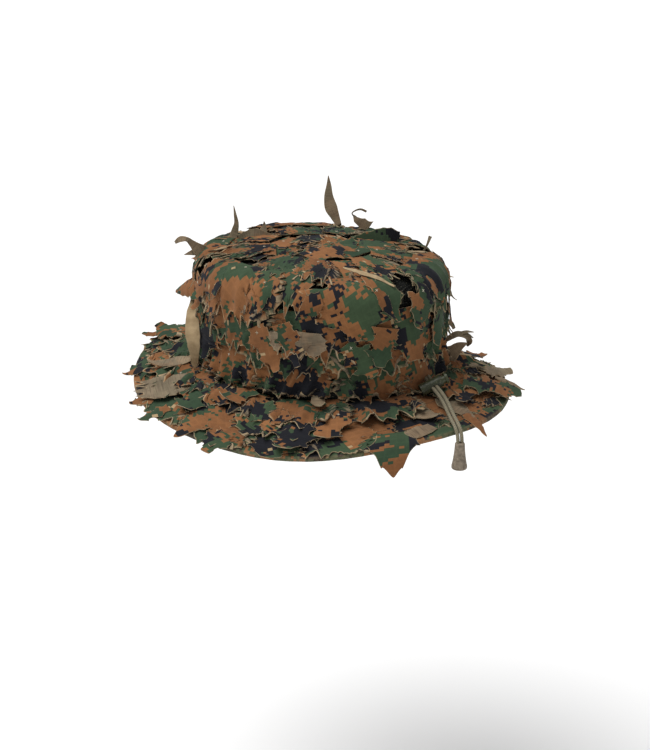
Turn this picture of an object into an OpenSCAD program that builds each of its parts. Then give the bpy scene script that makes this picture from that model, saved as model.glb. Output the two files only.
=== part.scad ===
// Boonie hat covered with sewn-on cut-cloth leaves, with a drawcord, cord lock and bell cord end.
// Frame: +Z up, the wearer faces -Y, origin at the middle of the head opening,
// on the seam line where the crown meets the brim. Millimetres.

/* [Head opening] */
// Front-to-back length inside the sweatband
head_len = 200; // [185:1:215]
// Width inside the sweatband
head_wid = 170; // [156:1:186]

/* [Crown] */
// Height from the brim seam to the top of the shoulder
crown_h = 90; // [76:1:104]
// How far the wall leans in from bottom to top
crown_taper = 3; // [0:0.5:8]
// Rounding between wall and tip
shoulder_r = 12; // [9:1:16]
// Rise of the tip's middle above the shoulder
tip_rise = 10; // [4:1:16]
// Thickness of the mesh and cloth of the crown
crown_t = 1.2; // [0.8:0.1:1.8]

/* [Brim] */
// Width along the slope, from crown to edge
brim_w = 62; // [50:1:72]
// Drop of the edge at the front
brim_drop_front = 9; // [4:1:24]
// Drop of the edge at the rear
brim_drop_rear = 13; // [8:1:16]
// Drop of the edge at the two sides
brim_drop_sides = 27; // [16:1:34]
// Height of the edge's gentle waves
brim_wave = 1.6; // [0:0.2:3]
// Thickness of one ply of the brim
ply_t = 0.8; // [0.5:0.1:1.2]
// Thickness of the edge binding
binding_t = 0.7; // [0.5:0.1:1]
// Width of the edge binding
binding_w = 9; // [6:0.5:12]

/* [Sweatband and foliage band] */
// Height of the sweatband
sweatband_h = 32; // [26:1:40]
// Thickness of the sweatband
sweatband_t = 1.2; // [0.8:0.1:1.8]
// Width of the tunnel behind the sweatband
tunnel_w = 4.2; // [4:0.1:6]
// Height of the foliage band's lower edge
band_z = 20; // [17:1:30]
// Height of the foliage band
band_h = 25; // [15:1:30]
// Thickness of the foliage band
band_t = 0.8; // [0.5:0.1:1.2]
// Height of the seam tape inside the crown
seam_tape_h = 10; // [6:1:14]
// Width of the care label
label_w = 42; // [30:1:60]
// Height of the care label
label_h = 26; // [20:1:35]

/* [Leaves] */
// Thickness of the leaf cloth
leaf_t = 0.6; // [0.4:0.1:0.8]
// Gap between one layer of leaves and the next
leaf_gap = 0.5; // [0.4:0.05:0.7]
// Leaves in the lower row round the crown
low_count = 8; // [4:2:8]
// Leaves in the upper row round the crown
high_count = 8; // [4:2:8]
// Leaves over the shoulder
shoulder_count = 6; // [4:2:6]
// Leaves round the brim
brim_count = 8; // [4:2:8]

/* [Drawcord and eyelet] */
// Diameter of the cord
cord_d = 3; // [2.4:0.1:3.2]
// Height of the eyelet's middle above the brim seam
eyelet_z = 9.5; // [9:0.5:11]
// Radius of the eyelet's bore
eyelet_bore_r = 4.2; // [4.1:0.1:4.6]
// Radius of the eyelet's outer flange
eyelet_flange_r = 7; // [6.6:0.2:8]
// Thickness of the eyelet's metal
eyelet_t = 0.6; // [0.5:0.1:0.7]

/* [Cord lock] */
// Outer diameter of the barrel
lock_d = 10; // [9.5:0.5:12]
// Length of the barrel
lock_len = 19; // [18:0.5:22]
// Diameter of the plunger in the barrel
plunger_d = 7; // [6.6:0.1:7.2]
// Diameter of the plunger's button
button_d = 9.4; // [8.6:0.2:10]
// Thickness of the button
button_t = 2; // [1.5:0.1:3]
// Travel of the plunger when it is pressed
press_travel = 3; // [2:0.1:3]
// How far down the cord the lock can be slid
lock_travel = 8; // [4:1:8]
// Wire diameter of the spring
spring_wire = 0.6; // [0.4:0.05:0.7]

/* [Cord end] */
// Length of the bell
bell_len = 22; // [18:1:26]
// Diameter of the bell's narrow neck
bell_neck_d = 8; // [7.6:0.2:9]
// Diameter of the bell's wide mouth
bell_mouth_d = 12.6; // [11:0.2:14]

/* [Hidden] */
$fn = 64;
around = 64;        // facets round a full ring
fine = 160;         // facets of the small turned parts
seam = 0.1;         // gap between two cloths that are sewn flat together
hem_gap = 0.2;      // gap between the brim's plies and the tape folded over them
facet_gap = 0.6;    // room for the flat facets of a leaf over a round wall
slip = 0.2;         // radial clearance of the plunger in its barrel
cord_gap = 0.3;     // gap between the two strands
spring_gap = 0.05;  // gap at each end of the spring

cord_r = cord_d / 2;
strand_x = (cord_d + cord_gap) / 2;
// Semi-axes of the crown wall's inner face at the brim seam
oval_x = head_wid / 2 + sweatband_t + tunnel_w;
oval_y = head_len / 2 + sweatband_t + tunnel_w;
oval_mean = (oval_x + oval_y) / 2;
wall_h = crown_h - shoulder_r;
shoulder_len = shoulder_r * PI / 2;
// Semi-axes of the oval where shoulder meets tip, measured on the outer face
tip_x = oval_x + crown_t - crown_taper - shoulder_r;
tip_y = oval_y + crown_t - crown_taper - shoulder_r;
// The brim's middle surface, and the height of its upper face above it
brim_core_z = -(1.5 * ply_t + 2 * seam);
brim_face = 1.5 * ply_t + seam;
leaf_pitch = leaf_t + leaf_gap;
// First leaf layer on the crown clears the foliage band
crown_leaf_h = seam + band_t + facet_gap;
brim_leaf_h = brim_face + hem_gap + binding_t + facet_gap;

// ---- surfaces ----
// Each gives a point from an angle (0 at the front, 90 at +X), a distance m along it and a height h above it.

function oval(th, q, z) = [(oval_x + q) * sin(th), -(oval_y + q) * cos(th), z];

// Outer face of the crown: m runs up the wall, over the shoulder and in across the tip
function crown_pt(th, m, h) =
    m <= wall_h ? oval(th, crown_t - crown_taper * m / wall_h + h, m)
    : m <= wall_h + shoulder_len
    ? let(a = (m - wall_h) / shoulder_r * 180 / PI)
      oval(th, crown_t - crown_taper - shoulder_r + (shoulder_r + h) * cos(a),
           wall_h + (shoulder_r + h) * sin(a))
    : let(k = 1 - (m - wall_h - shoulder_len) / tip_x)
      [k * tip_x * sin(th), -k * tip_y * cos(th), crown_h + tip_rise * (1 - k * k) + h];

// Tip seen from above, for leaves that lie on it
function tip_pt(x, y, h) =
    let(k2 = pow(x / tip_x, 2) + pow(y / tip_y, 2))
    [x, y, crown_h + tip_rise * (1 - k2) + h];

// Brim: m runs outwards from the crown's inner face, h is above the middle surface
function brim_drop(th) =
    let(end_drop = cos(th) > 0 ? brim_drop_front : brim_drop_rear)
    brim_drop_sides + (end_drop - brim_drop_sides) * cos(th) * cos(th);
function brim_pt(th, m, h) =
    let(drop = brim_drop(th), run = sqrt(brim_w * brim_w - drop * drop), f = m / brim_w)
    oval(th, run * f, brim_core_z - drop * f + brim_wave * f * f * sin(5 * th + 50) + h);

// ---- solids ----

function flat(lists) = [for (l = lists) for (p = l) p];

// Closed solid between two grids of points; wrap joins the last row to the first
module slab(top, under, wrap = false) {
    rows = len(top);
    cols = len(top[0]);
    last = wrap ? rows - 1 : rows - 2;
    function t(i, j) = (i % rows) * cols + j;
    function u(i, j) = rows * cols + t(i, j);
    faces = concat(
        [for (i = [0:last], j = [0:cols - 2]) each [
            [t(i, j), t(i + 1, j), t(i + 1, j + 1)], [t(i, j), t(i + 1, j + 1), t(i, j + 1)],
            [u(i, j), u(i + 1, j + 1), u(i + 1, j)], [u(i, j), u(i, j + 1), u(i + 1, j + 1)]]],
        [for (i = [0:last], end = [0, 1]) let(j = end * (cols - 1)) each end == 0
            ? [[t(i, j), u(i, j), u(i + 1, j)], [t(i, j), u(i + 1, j), t(i + 1, j)]]
            : [[t(i, j), u(i + 1, j), u(i, j)], [t(i, j), t(i + 1, j), u(i + 1, j)]]],
        wrap ? [] : [for (j = [0:cols - 2], end = [0, 1]) let(i = end * (rows - 1)) each end == 0
            ? [[t(i, j), t(i, j + 1), u(i, j + 1)], [t(i, j), u(i, j + 1), u(i, j)]]
            : [[t(i, j), u(i, j + 1), t(i, j + 1)], [t(i, j), u(i, j), u(i, j + 1)]]]);
    polyhedron(points = concat(flat(top), flat(under)), faces = faces, convexity = 6);
}

function ring_angles() = [for (i = [0:around - 1]) i * 360 / around];

// Tube that follows a path of points, with flat ends; ref is a direction that never runs along it
module tube(path, r, ref, sides = 8) {
    n = len(path);
    function dir(i) = let(d = path[min(i + 1, n - 1)] - path[max(i - 1, 0)]) d / norm(d);
    rings = [for (i = [0:n - 1])
        let(d = dir(i), side = cross(ref, d), a = side / norm(side), b = cross(d, a))
        [for (k = [0:sides - 1]) path[i] + r * (cos(k * 360 / sides) * a + sin(k * 360 / sides) * b)]];
    function id(i, k) = i * sides + k % sides;
    faces = concat(
        [for (i = [0:n - 2], k = [0:sides - 1]) each [
            [id(i, k), id(i, k + 1), id(i + 1, k + 1)], [id(i, k), id(i + 1, k + 1), id(i + 1, k)]]],
        [[for (k = [sides - 1:-1:0]) id(0, k)], [for (k = [0:sides - 1]) id(n - 1, k)]]);
    polyhedron(points = flat(rings), faces = faces, convexity = 6);
}

// ---- crown ----

// Half of the crown wall, from one side seam to the other
module crown_panel(start) {
    angles = [for (i = [0:around / 2]) start + i * 360 / around];
    inset = 360 * seam / (2 * PI * oval_mean);
    function th(i) = angles[i] + (i == 0 ? inset : i == around / 2 ? -inset : 0);
    heights = [for (j = [0:3]) j * (wall_h - seam) / 3];
    slab([for (i = [0:around / 2]) [for (m = heights) crown_pt(th(i), m, 0)]],
         [for (i = [0:around / 2]) [for (m = heights) crown_pt(th(i), m, -crown_t)]]);
}

module crown_panel_front() {
    color("#3a3d33") crown_panel(-90);
}

// The eyelet goes through the rear panel, and its clinch is pressed into the panel's inner face
module crown_panel_rear() {
    deep = eyelet_flange_r;
    color("#3a3d33") difference() {
        crown_panel(90);
        at_eyelet() translate([0, 0, -deep]) cylinder(r = eyelet_bore_r + eyelet_t + seam, h = 2 * deep);
        at_eyelet() translate([0, 0, -deep])
            cylinder(r = clinch_r + seam, h = deep + clinch_low + clinch_t + seam);
    }
}

// Domed top with its rounded shoulder, closed over the middle
module crown_tip() {
    steps = [for (j = [0:4]) wall_h + shoulder_len * j / 4,
             for (k = [0.3, 0.65, 0.97]) wall_h + shoulder_len + k * tip_x];
    function outer(m) = [for (th = ring_angles()) crown_pt(th, m, 0)];
    function inner(m) = [for (th = ring_angles()) crown_pt(th, m, -crown_t)];
    n = len(steps);
    rings = concat([for (m = steps) outer(m)], [for (j = [n - 1:-1:0]) inner(steps[j])]);
    points = flat(rings);
    function id(r, i) = r * around + i % around;
    sides = [for (r = [0:2 * n - 1], i = [0:around - 1]) let(s = (r + 1) % (2 * n))
        if (r != n - 1) each [[id(r, i), id(s, i), id(s, i + 1)], [id(r, i), id(s, i + 1), id(r, i + 1)]]];
    caps = [[for (i = [0:around - 1]) id(n - 1, i)], [for (i = [around - 1:-1:0]) id(n, i)]];
    color("#6d5435") polyhedron(points = points, faces = concat(sides, caps), convexity = 6);
}

module crown_seam_tape() {
    face_h = -crown_t - seam;
    heights = [wall_h - 1, wall_h - 1 - seam_tape_h];
    color("#2c2f28") slab([for (th = ring_angles()) [for (m = heights) crown_pt(th, m, face_h - ply_t)]],
                          [for (th = ring_angles()) [for (m = heights) crown_pt(th, m, face_h)]],
                          wrap = true);
}

module foliage_band() {
    heights = [band_z, band_z + band_h];
    color("#5a4a33") slab([for (th = ring_angles()) [for (m = heights) crown_pt(th, m, seam + band_t)]],
                          [for (th = ring_angles()) [for (m = heights) crown_pt(th, m, seam)]],
                          wrap = true);
}

// Folded tape: its top and bottom hems close the tunnel that the drawcord runs in
module sweatband() {
    face_q = -tunnel_w - sweatband_t;
    head_side = [[-seam, 0], [face_q, 0], [face_q, sweatband_h], [-seam - crown_taper / 2, sweatband_h]];
    cord_side = [[-seam, sweatband_t], [-tunnel_w, sweatband_t], [-tunnel_w, sweatband_h - sweatband_t],
                 [-seam - crown_taper / 2, sweatband_h - sweatband_t]];
    color("#23241f") slab([for (th = ring_angles()) [for (p = cord_side) oval(th, p[0], p[1])]],
                          [for (th = ring_angles()) [for (p = head_side) oval(th, p[0], p[1])]],
                          wrap = true);
}

module care_label() {
    label_t = 0.4;
    half = label_w / oval_mean * 90 / PI;
    heights = [sweatband_h + 4, sweatband_h + 4 + label_h];
    over_tape = heights[1] > wall_h - 1 - seam_tape_h ? ply_t : 0;
    back_h = -crown_t - 3 * seam - over_tape;
    function face(h) = [for (i = [0:6]) [for (m = heights) crown_pt(180 + (i / 3 - 1) * half, m, h)]];
    color("#d8d6cd") slab(face(back_h), face(back_h - label_t));
}

// ---- brim ----

module brim_ply(low, high, from = 0) {
    steps = [for (j = [0:3]) from + (brim_w - from) * j / 3];
    slab([for (th = ring_angles()) [for (m = steps) brim_pt(th, m, high)]],
         [for (th = ring_angles()) [for (m = steps) brim_pt(th, m, low)]], wrap = true);
}

module brim_upper() {
    color("#7a5a36") brim_ply(ply_t / 2 + seam, brim_face);
}

module brim_interlining() {
    color("#b9b2a0") brim_ply(-ply_t / 2, ply_t / 2, from = 1);
}

module brim_lower() {
    color("#6b6f55") brim_ply(-brim_face, -ply_t / 2 - seam);
}

// Bias tape folded over the raw edge
module brim_binding() {
    inner_h = brim_face + hem_gap;
    outer_h = inner_h + binding_t;
    edge = brim_w + hem_gap;
    out = [[brim_w - binding_w, outer_h], [edge + binding_t, outer_h],
           [edge + binding_t, -outer_h], [brim_w - binding_w, -outer_h]];
    in = [[brim_w - binding_w, inner_h], [edge, inner_h], [edge, -inner_h], [brim_w - binding_w, -inner_h]];
    color("#5f4a30") slab([for (th = ring_angles()) [for (p = out) brim_pt(th, p[0], p[1])]],
                          [for (th = ring_angles()) [for (p = in) brim_pt(th, p[0], p[1])]], wrap = true);
}

// ---- leaves: serrated pieces of cloth, sewn at the root and free at the tip ----

CROWN = 0;
BRIM = 1;
TIP = 2;
function on_surface(zone, a, b, h) = zone == CROWN ? crown_pt(a, b, h)
    : zone == BRIM ? brim_pt(a, b, h) : tip_pt(a, b, h);

// Repeatable scatter between -1 and 1
function scatter(i, k) = let(s = sin(i * 127.1 + k * 311.7) * 43758.5) 2 * (s - floor(s)) - 1;

// A leaf is [name, zone, a, b, heading, length, width, height, share that lies flat, bend].
// a and b place the root: angle and distance on crown and brim, x and y on the tip.
// Past the flat share the leaf curls away from the surface by the bend in degrees.
// A leaf with no flat share stands up straight from its root at that angle.
function spine(leaf, u) =
    let(lies = leaf[8] * leaf[5], bend = leaf[9])
    lies == 0 ? [u * cos(bend), u * sin(bend)]
    : u <= lies ? [u, 0]
    : let(r = (leaf[5] - lies) / (bend * PI / 180), phi = bend * (u - lies) / (leaf[5] - lies))
      [lies + r * sin(phi), r * (1 - cos(phi))];

function leaf_pt(leaf, u, v, up) =
    let(s = spine(leaf, u), head = leaf[4], scale_a = leaf[1] == TIP ? 1 : 180 / PI / oval_mean,
        c = s[0] * sin(head) + v * cos(head), m = s[0] * cos(head) - v * sin(head))
    on_surface(leaf[1], leaf[2] + c * scale_a, leaf[3] + m, leaf[7] + s[1] + up);

// Every second station is drawn in, which makes the serrated edge
function half_width(leaf, t, station) =
    leaf[6] / 2 * sin(180 * (0.17 + 0.77 * t)) * (station % 2 == 0 ? 1 : 0.78);

module leaf_solid(leaf) {
    stations = leaf[1] == CROWN && leaf[3] > wall_h ? 14 : 8;
    across = leaf[6] > 45 ? 3 : leaf[6] > 20 ? 2 : 1;
    function sheet(up) = [for (i = [0:stations]) let(t = i / stations, w = half_width(leaf, t, i))
        [for (j = [-across:across]) leaf_pt(leaf, t * leaf[5], j / across * w, up)]];
    slab(sheet(leaf_t), sheet(0));
}

// One leaf of a row: neighbours lie in two different layers
function row_leaf(name, i, th, m, head, size, height, lies, bend, zone = CROWN) =
    [str(name, "_", i + 1), zone, th + 3 * scatter(i, 1), m + 1.5 * scatter(i, 2), head + 6 * scatter(i, 3),
     size[0] + 2 * scatter(i, 4), size[1], height + (i % 2) * leaf_pitch, lies, bend + 4 * scatter(i, 5)];

row_overlap = 1.12;                                  // a leaf's width over its share of the row
crown_ring = 2 * PI * oval_mean;
tail_th = 170;                                       // the rows leave room here for the cord's tail
tail_room = 80;

low_row = [for (i = [0:low_count - 1]) row_leaf("leaf_crown_low", i, tail_th + (i + 0.5) * 360 / low_count,
    0.66 * wall_h, 180, [0.42 * wall_h, row_overlap * crown_ring / low_count], crown_leaf_h, 0.5, 18)];
high_row = [for (i = [0:high_count - 1]) row_leaf("leaf_crown_high", i, tail_th + i * 360 / high_count,
    wall_h - 3, 180, [0.55 * wall_h, row_overlap * crown_ring / high_count],
    crown_leaf_h + 2 * leaf_pitch, 0.55, 16)];
shoulder_row = [for (i = [0:shoulder_count - 1]) row_leaf("leaf_shoulder", i, 20 + i * 360 / shoulder_count,
    wall_h + shoulder_len + 8, 180, [shoulder_len + 30, 0.95 * crown_ring / shoulder_count],
    crown_leaf_h + 4 * leaf_pitch, 0.7, 14)];
brim_row = [for (i = [0:brim_count - 1]) row_leaf("leaf_brim", i,
    tail_th + tail_room / 2 + (i + 0.5) * (360 - tail_room) / brim_count,
    14, 0, [brim_w - 20, 0.9 * crown_ring / brim_count], brim_leaf_h, 0.75, 10, BRIM)];
tip_leaves = [
    ["leaf_tip_1", TIP, 26, -54, -20, 60, 50, leaf_gap, 0.7, 12],
    ["leaf_tip_2", TIP, -34, 52, 160, 60, 48, leaf_gap + leaf_pitch, 0.7, 12]];

// Leaves that stand clear of the rest, each free to swing about its sewn root
stand_h = crown_leaf_h + 7 * leaf_pitch;
hinged_leaves = [
    ["leaf_spike_tall", TIP, -66, -26, 200, 42, 15, 8, 0, 68],
    ["leaf_spike_front", TIP, 16, -80, -60, 27, 12, 8, 0, 72],
    ["leaf_curl_front", CROWN, 22, wall_h + 10, 165, 30, 14, stand_h, 0, 40],
    ["leaf_curl_far", TIP, -70, 10, 195, 24, 16, 8, 0, 60],
    ["leaf_flap_front", CROWN, 46, 62, -115, 42, 30, stand_h, 0, 24],
    ["leaf_strip_front", CROWN, 35, 50, 172, 42, 14, stand_h, 0, 4],
    ["leaf_loop_rear", CROWN, 224, 34, 150, 40, 22, stand_h, 0, 42],
    ["leaf_edge", BRIM, 146, brim_w - 10, 12, 32, 24, brim_leaf_h, 0.42, -62]];

all_leaves = concat(low_row, high_row, shoulder_row, tip_leaves, brim_row, hinged_leaves);

// ---- drawcord, eyelet, lock and bell ----

// Middle line of the pair of strands, from the eyelet to the bell, measured from where it leaves the wall
cord_exit = [0, oval_y + 2.6, eyelet_z];
steps_out = [[0, 0, 0], [2.8, 4, -0.8], [5.5, 8, -1.6], [8.1, 12, -2.4], [10.8, 16, -3.2],
             [13.4, 20, -4], [16, 24, -4.9], [18.6, 28, -6.3], [21.2, 32, -8.1], [24, 36, -10.3],
             [27, 40, -12.5], [30, 44, -14.5], [33, 48, -16.3], [36, 52, -17.9], [38.4, 55.4, -20.5],
             [39.8, 57.6, -23.9], [40.2, 58.4, -27.5], [40.2, 58.6, -30.5]];
route = [for (step = steps_out) cord_exit + step];
slope = [0.548, 0.813, -0.163];
tail_run = slope / norm(slope);                      // direction of the straight stretch
hinge_axis = [slope[1], -slope[0], 0] / norm([slope[0], slope[1]]);
lock_tilt = 22;                                      // how far the barrel leans up out of the level
tail_up = cross(hinge_axis, tail_run);
barrel_dir = -cos(lock_tilt) * hinge_axis + sin(lock_tilt) * tail_up;
lock_s = 14;                                         // distance of the lock from the eyelet
lock_at = route[0] + lock_s * tail_run;

module at_eyelet() {
    translate([0, oval_y, eyelet_z]) rotate([-90, 0, 0]) children();
}

// Frame with its z along the barrel and its y along the cords
module at_lock() {
    z = barrel_dir;
    y = tail_run;
    x = cross(y, z);
    multmatrix([[x[0], y[0], z[0], lock_at[0]], [x[1], y[1], z[1], lock_at[1]],
                [x[2], y[2], z[2], lock_at[2]], [0, 0, 0, 1]]) children();
}

// Ring that is turned back on the inner face, and its lowest face in the eyelet's frame
clinch_r = eyelet_flange_r - 1;
clinch_t = eyelet_t / 2;
clinch_low = -crown_taper * (eyelet_z + clinch_r) / wall_h - seam - clinch_t;

module eyelet() {
    high = crown_t + seam + eyelet_t;
    color("#4a4a40") at_eyelet() rotate_extrude() {
        translate([eyelet_bore_r, clinch_low]) square([eyelet_t, high - clinch_low]);
        translate([eyelet_bore_r, high - eyelet_t]) square([eyelet_flange_r - eyelet_bore_r, eyelet_t]);
        translate([eyelet_bore_r, clinch_low]) square([clinch_r - eyelet_bore_r, clinch_t]);
    }
}

// The cord's loop in its tunnel, with both ends turned out through the eyelet
module drawcord() {
    q = -tunnel_w + seam + cord_r;                   // the cord lies against the sweatband
    turn = 7;                                        // degrees from the eyelet where the cord leaves the wall
    ring = [for (a = [turn:6:360 - turn]) oval(180 + a, q, eyelet_z)];
    start = [[-strand_x, oval_y, eyelet_z], [-strand_x, oval_y - 1.4, eyelet_z],
             [-strand_x - 1.2, oval_y - 2.5, eyelet_z], [-strand_x - 4, oval_y + q, eyelet_z]];
    finish = [for (i = [3:-1:0]) [-start[i][0], start[i][1], start[i][2]]];
    color("#6b6a50") tube(concat(start, ring, finish), cord_r, [0, 0, 1]);
}

function aim(i) = let(n = len(route), d = route[min(i + 1, n - 1)] - route[max(i - 1, 0)]) d / norm(d);
// The two strands lie side by side along the barrel, and on the hinge axis where they start
function beside(i) =
    let(b = i == 0 ? -hinge_axis : i == 1 ? barrel_dir - hinge_axis : barrel_dir,
        d = aim(max(i, 1)),
        across = b - (b * d) * d)
    across / norm(across);

module tail_strand(side) {
    path = [for (i = [0:len(route) - 1]) route[i] + side * strand_x * beside(i)];
    color("#77765c") tube(path, cord_r, barrel_dir);
}

module tail_strand_left() {
    tail_strand(-1);
}

module tail_strand_right() {
    tail_strand(1);
}

// The bell hangs from the strands' ends, which butt against its closed top
bell_top = route[len(route) - 1];
bell_wall = 1.2;
bell_lip = 3;
bell_roof = 1.5;
knot_r = 2.6;

module cord_end() {
    neck = bell_neck_d / 2;
    mouth = bell_mouth_d / 2;
    color("#8a8070") translate(bell_top) rotate([180, 0, 0]) rotate_extrude()
        polygon([[0, 0], [neck, 0], [mouth, bell_len - bell_lip], [mouth, bell_len],
                 [mouth - bell_wall, bell_len], [mouth - bell_wall, bell_len - bell_lip],
                 [neck - bell_wall, bell_roof], [0, bell_roof]]);
}

// The strands' knot, under the bell's roof
module cord_end_knot() {
    color("#6b6a50") translate(bell_top - [0, 0, bell_roof + knot_r]) sphere(r = knot_r);
}

hole_up = 11;                                        // from the barrel's closed end to the cords
floor_t = 1.6;
slot_w = cord_d + 1;
body_slot_h = 2 * cord_d + cord_gap + 0.9;
plunger_low = -body_slot_h / 2 - 1;

module slot(low, high) {
    r = slot_w / 2;
    translate([-r, -lock_d, low + r]) cube([slot_w, 2 * lock_d, high - low - slot_w]);
    for (z = [low + r, high - r]) translate([0, lock_d, z]) rotate([90, 0, 0])
        cylinder(r = r, h = 2 * lock_d, $fn = fine);
}

module cord_lock_body() {
    color("#3f4230") at_lock() difference() {
        translate([0, 0, -hole_up]) cylinder(d = lock_d, h = lock_len, $fn = fine);
        translate([0, 0, -hole_up + floor_t]) cylinder(d = plunger_d + 2 * slip, h = lock_len, $fn = fine);
        slot(-body_slot_h / 2, body_slot_h / 2);
    }
}

module cord_lock_plunger() {
    top = lock_len - hole_up;
    color("#4a4d3a") at_lock() difference() {
        union() {
            translate([0, 0, plunger_low])
                cylinder(d = plunger_d, h = top + press_travel + slip - plunger_low, $fn = fine);
            translate([0, 0, top + press_travel + slip]) cylinder(d = button_d, h = button_t, $fn = fine);
        }
        slot(-body_slot_h / 2, body_slot_h / 2 + press_travel);
    }
}

module cord_lock_spring() {
    low = -hole_up + floor_t + spring_wire / 2 + spring_gap;
    high = plunger_low - spring_wire / 2 - spring_gap;
    r = plunger_d / 2 - spring_wire;
    steps = 24;
    coil = [for (i = [0:steps]) [r * cos(30 * i), r * sin(30 * i), low + (high - low) * i / steps]];
    color("#9a9a9a") at_lock() tube(coil, spring_wire / 2, [0, 0, 1]);
}

crown_panel_front();
crown_panel_rear();
crown_tip();
crown_seam_tape();
foliage_band();
sweatband();
care_label();
brim_upper();
brim_interlining();
brim_lower();
brim_binding();
eyelet();
drawcord();
tail_strand_left();
tail_strand_right();
cord_end();
cord_end_knot();
cord_lock_body();
cord_lock_plunger();
cord_lock_spring();
for (leaf = all_leaves) leaf_solid(leaf);
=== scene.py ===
"""Looks of the leaf-covered boonie hat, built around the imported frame.
Lengths in this file are millimetres until a mesh is made; Blender gets metres."""

import math

import bpy
import numpy as np
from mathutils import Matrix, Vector


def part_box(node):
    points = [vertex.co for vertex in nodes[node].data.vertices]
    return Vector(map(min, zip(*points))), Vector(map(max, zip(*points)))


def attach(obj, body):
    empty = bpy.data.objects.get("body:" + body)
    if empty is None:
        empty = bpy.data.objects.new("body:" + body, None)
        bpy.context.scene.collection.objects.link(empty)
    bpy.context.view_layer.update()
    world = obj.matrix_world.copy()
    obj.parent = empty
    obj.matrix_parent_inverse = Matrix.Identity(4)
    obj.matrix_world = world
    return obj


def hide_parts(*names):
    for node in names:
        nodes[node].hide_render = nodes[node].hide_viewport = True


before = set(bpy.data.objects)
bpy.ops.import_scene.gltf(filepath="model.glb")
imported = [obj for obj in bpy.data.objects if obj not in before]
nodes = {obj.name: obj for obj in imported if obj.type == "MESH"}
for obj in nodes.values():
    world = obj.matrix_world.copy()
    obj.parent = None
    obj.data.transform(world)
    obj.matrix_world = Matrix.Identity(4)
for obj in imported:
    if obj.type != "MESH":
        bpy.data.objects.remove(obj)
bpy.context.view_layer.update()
MM = 0.001

# ---- sizes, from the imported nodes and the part's own values ----

CROWN_T, CROWN_TAPER, SHOULDER_R = 1.2, 3.0, 12.0
BRIM_W, BRIM_WAVE, BRIM_FACE, PLY_T, SEAM = 62.0, 1.6, 1.3, 0.8, 0.1
panel_low, panel_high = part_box("crown_panel_front")
OVAL_X = panel_high.x / MM - CROWN_T
OVAL_Y = -panel_low.y / MM - CROWN_T
OVAL_MEAN = (OVAL_X + OVAL_Y) / 2
WALL_H = panel_high.z / MM + SEAM
CROWN_H = WALL_H + SHOULDER_R
SHOULDER_LEN = SHOULDER_R * math.pi / 2
TIP_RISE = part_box("crown_tip")[1].z / MM - CROWN_H
TIP_X = OVAL_X + CROWN_T - CROWN_TAPER - SHOULDER_R
TIP_Y = OVAL_Y + CROWN_T - CROWN_TAPER - SHOULDER_R
BRIM_CORE_Z = -(1.5 * PLY_T + 2 * SEAM)
DROP_FRONT, DROP_REAR, DROP_SIDES = 9.0, 13.0, 27.0
LEAF_PITCH = 1.1
CROWN_LEAF_H, BRIM_LEAF_H = 1.5, 2.8
CLOTH_T = 0.5
EYELET_Z = 9.5
TUNNEL_W = 4.2
BAND_LOW, BAND_HIGH = 20, 45
LABEL_W, LABEL_LOW, LABEL_HIGH = 42, 36, 62

# ---- camera, light and floor ----

scene = bpy.context.scene
AZIMUTH, ELEVATION, DISTANCE = math.radians(126), math.radians(21), 1.5
level = Vector((math.sin(AZIMUTH), -math.cos(AZIMUTH), 0))
back = level * math.cos(ELEVATION) + Vector((0, 0, math.sin(ELEVATION)))
right = Vector((math.cos(AZIMUTH), math.sin(AZIMUTH), 0))
up = back.cross(right)
camera = bpy.data.objects.new("camera", bpy.data.cameras.new("camera"))
camera.data.lens = 84
camera.data.sensor_width = 36
camera.location = back * DISTANCE + right * 0.004286 - up * 0.012857
camera.rotation_euler = (-back).to_track_quat("-Z", "Y").to_euler()
scene.collection.objects.link(camera)
scene.camera = camera
scene.view_settings.view_transform = "Standard"

sun = bpy.data.lights.new("soft_sun", "SUN")
sun.energy = 3.2
sun.angle = math.radians(50)
sun_object = bpy.data.objects.new("soft_sun", sun)
sun_object.rotation_euler = (back * 0.42 - right * 0.55 + up * 1.2).to_track_quat("Z", "Y").to_euler()
scene.collection.objects.link(sun_object)
world = bpy.data.worlds.new("studio")
world.use_nodes = True
sky = world.node_tree.nodes["Background"].inputs
sky["Color"].default_value = (1, 1, 1, 1)
sky["Strength"].default_value = 0.34
scene.world = world

# ---- materials ----


def srgb(code):
    """Linear colour of a hex code."""
    parts = [int(code[i:i + 2], 16) / 255 for i in (1, 3, 5)]
    return tuple(c / 12.92 if c <= 0.04045 else ((c + 0.055) / 1.055) ** 2.4 for c in parts) + (1.0,)


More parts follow.
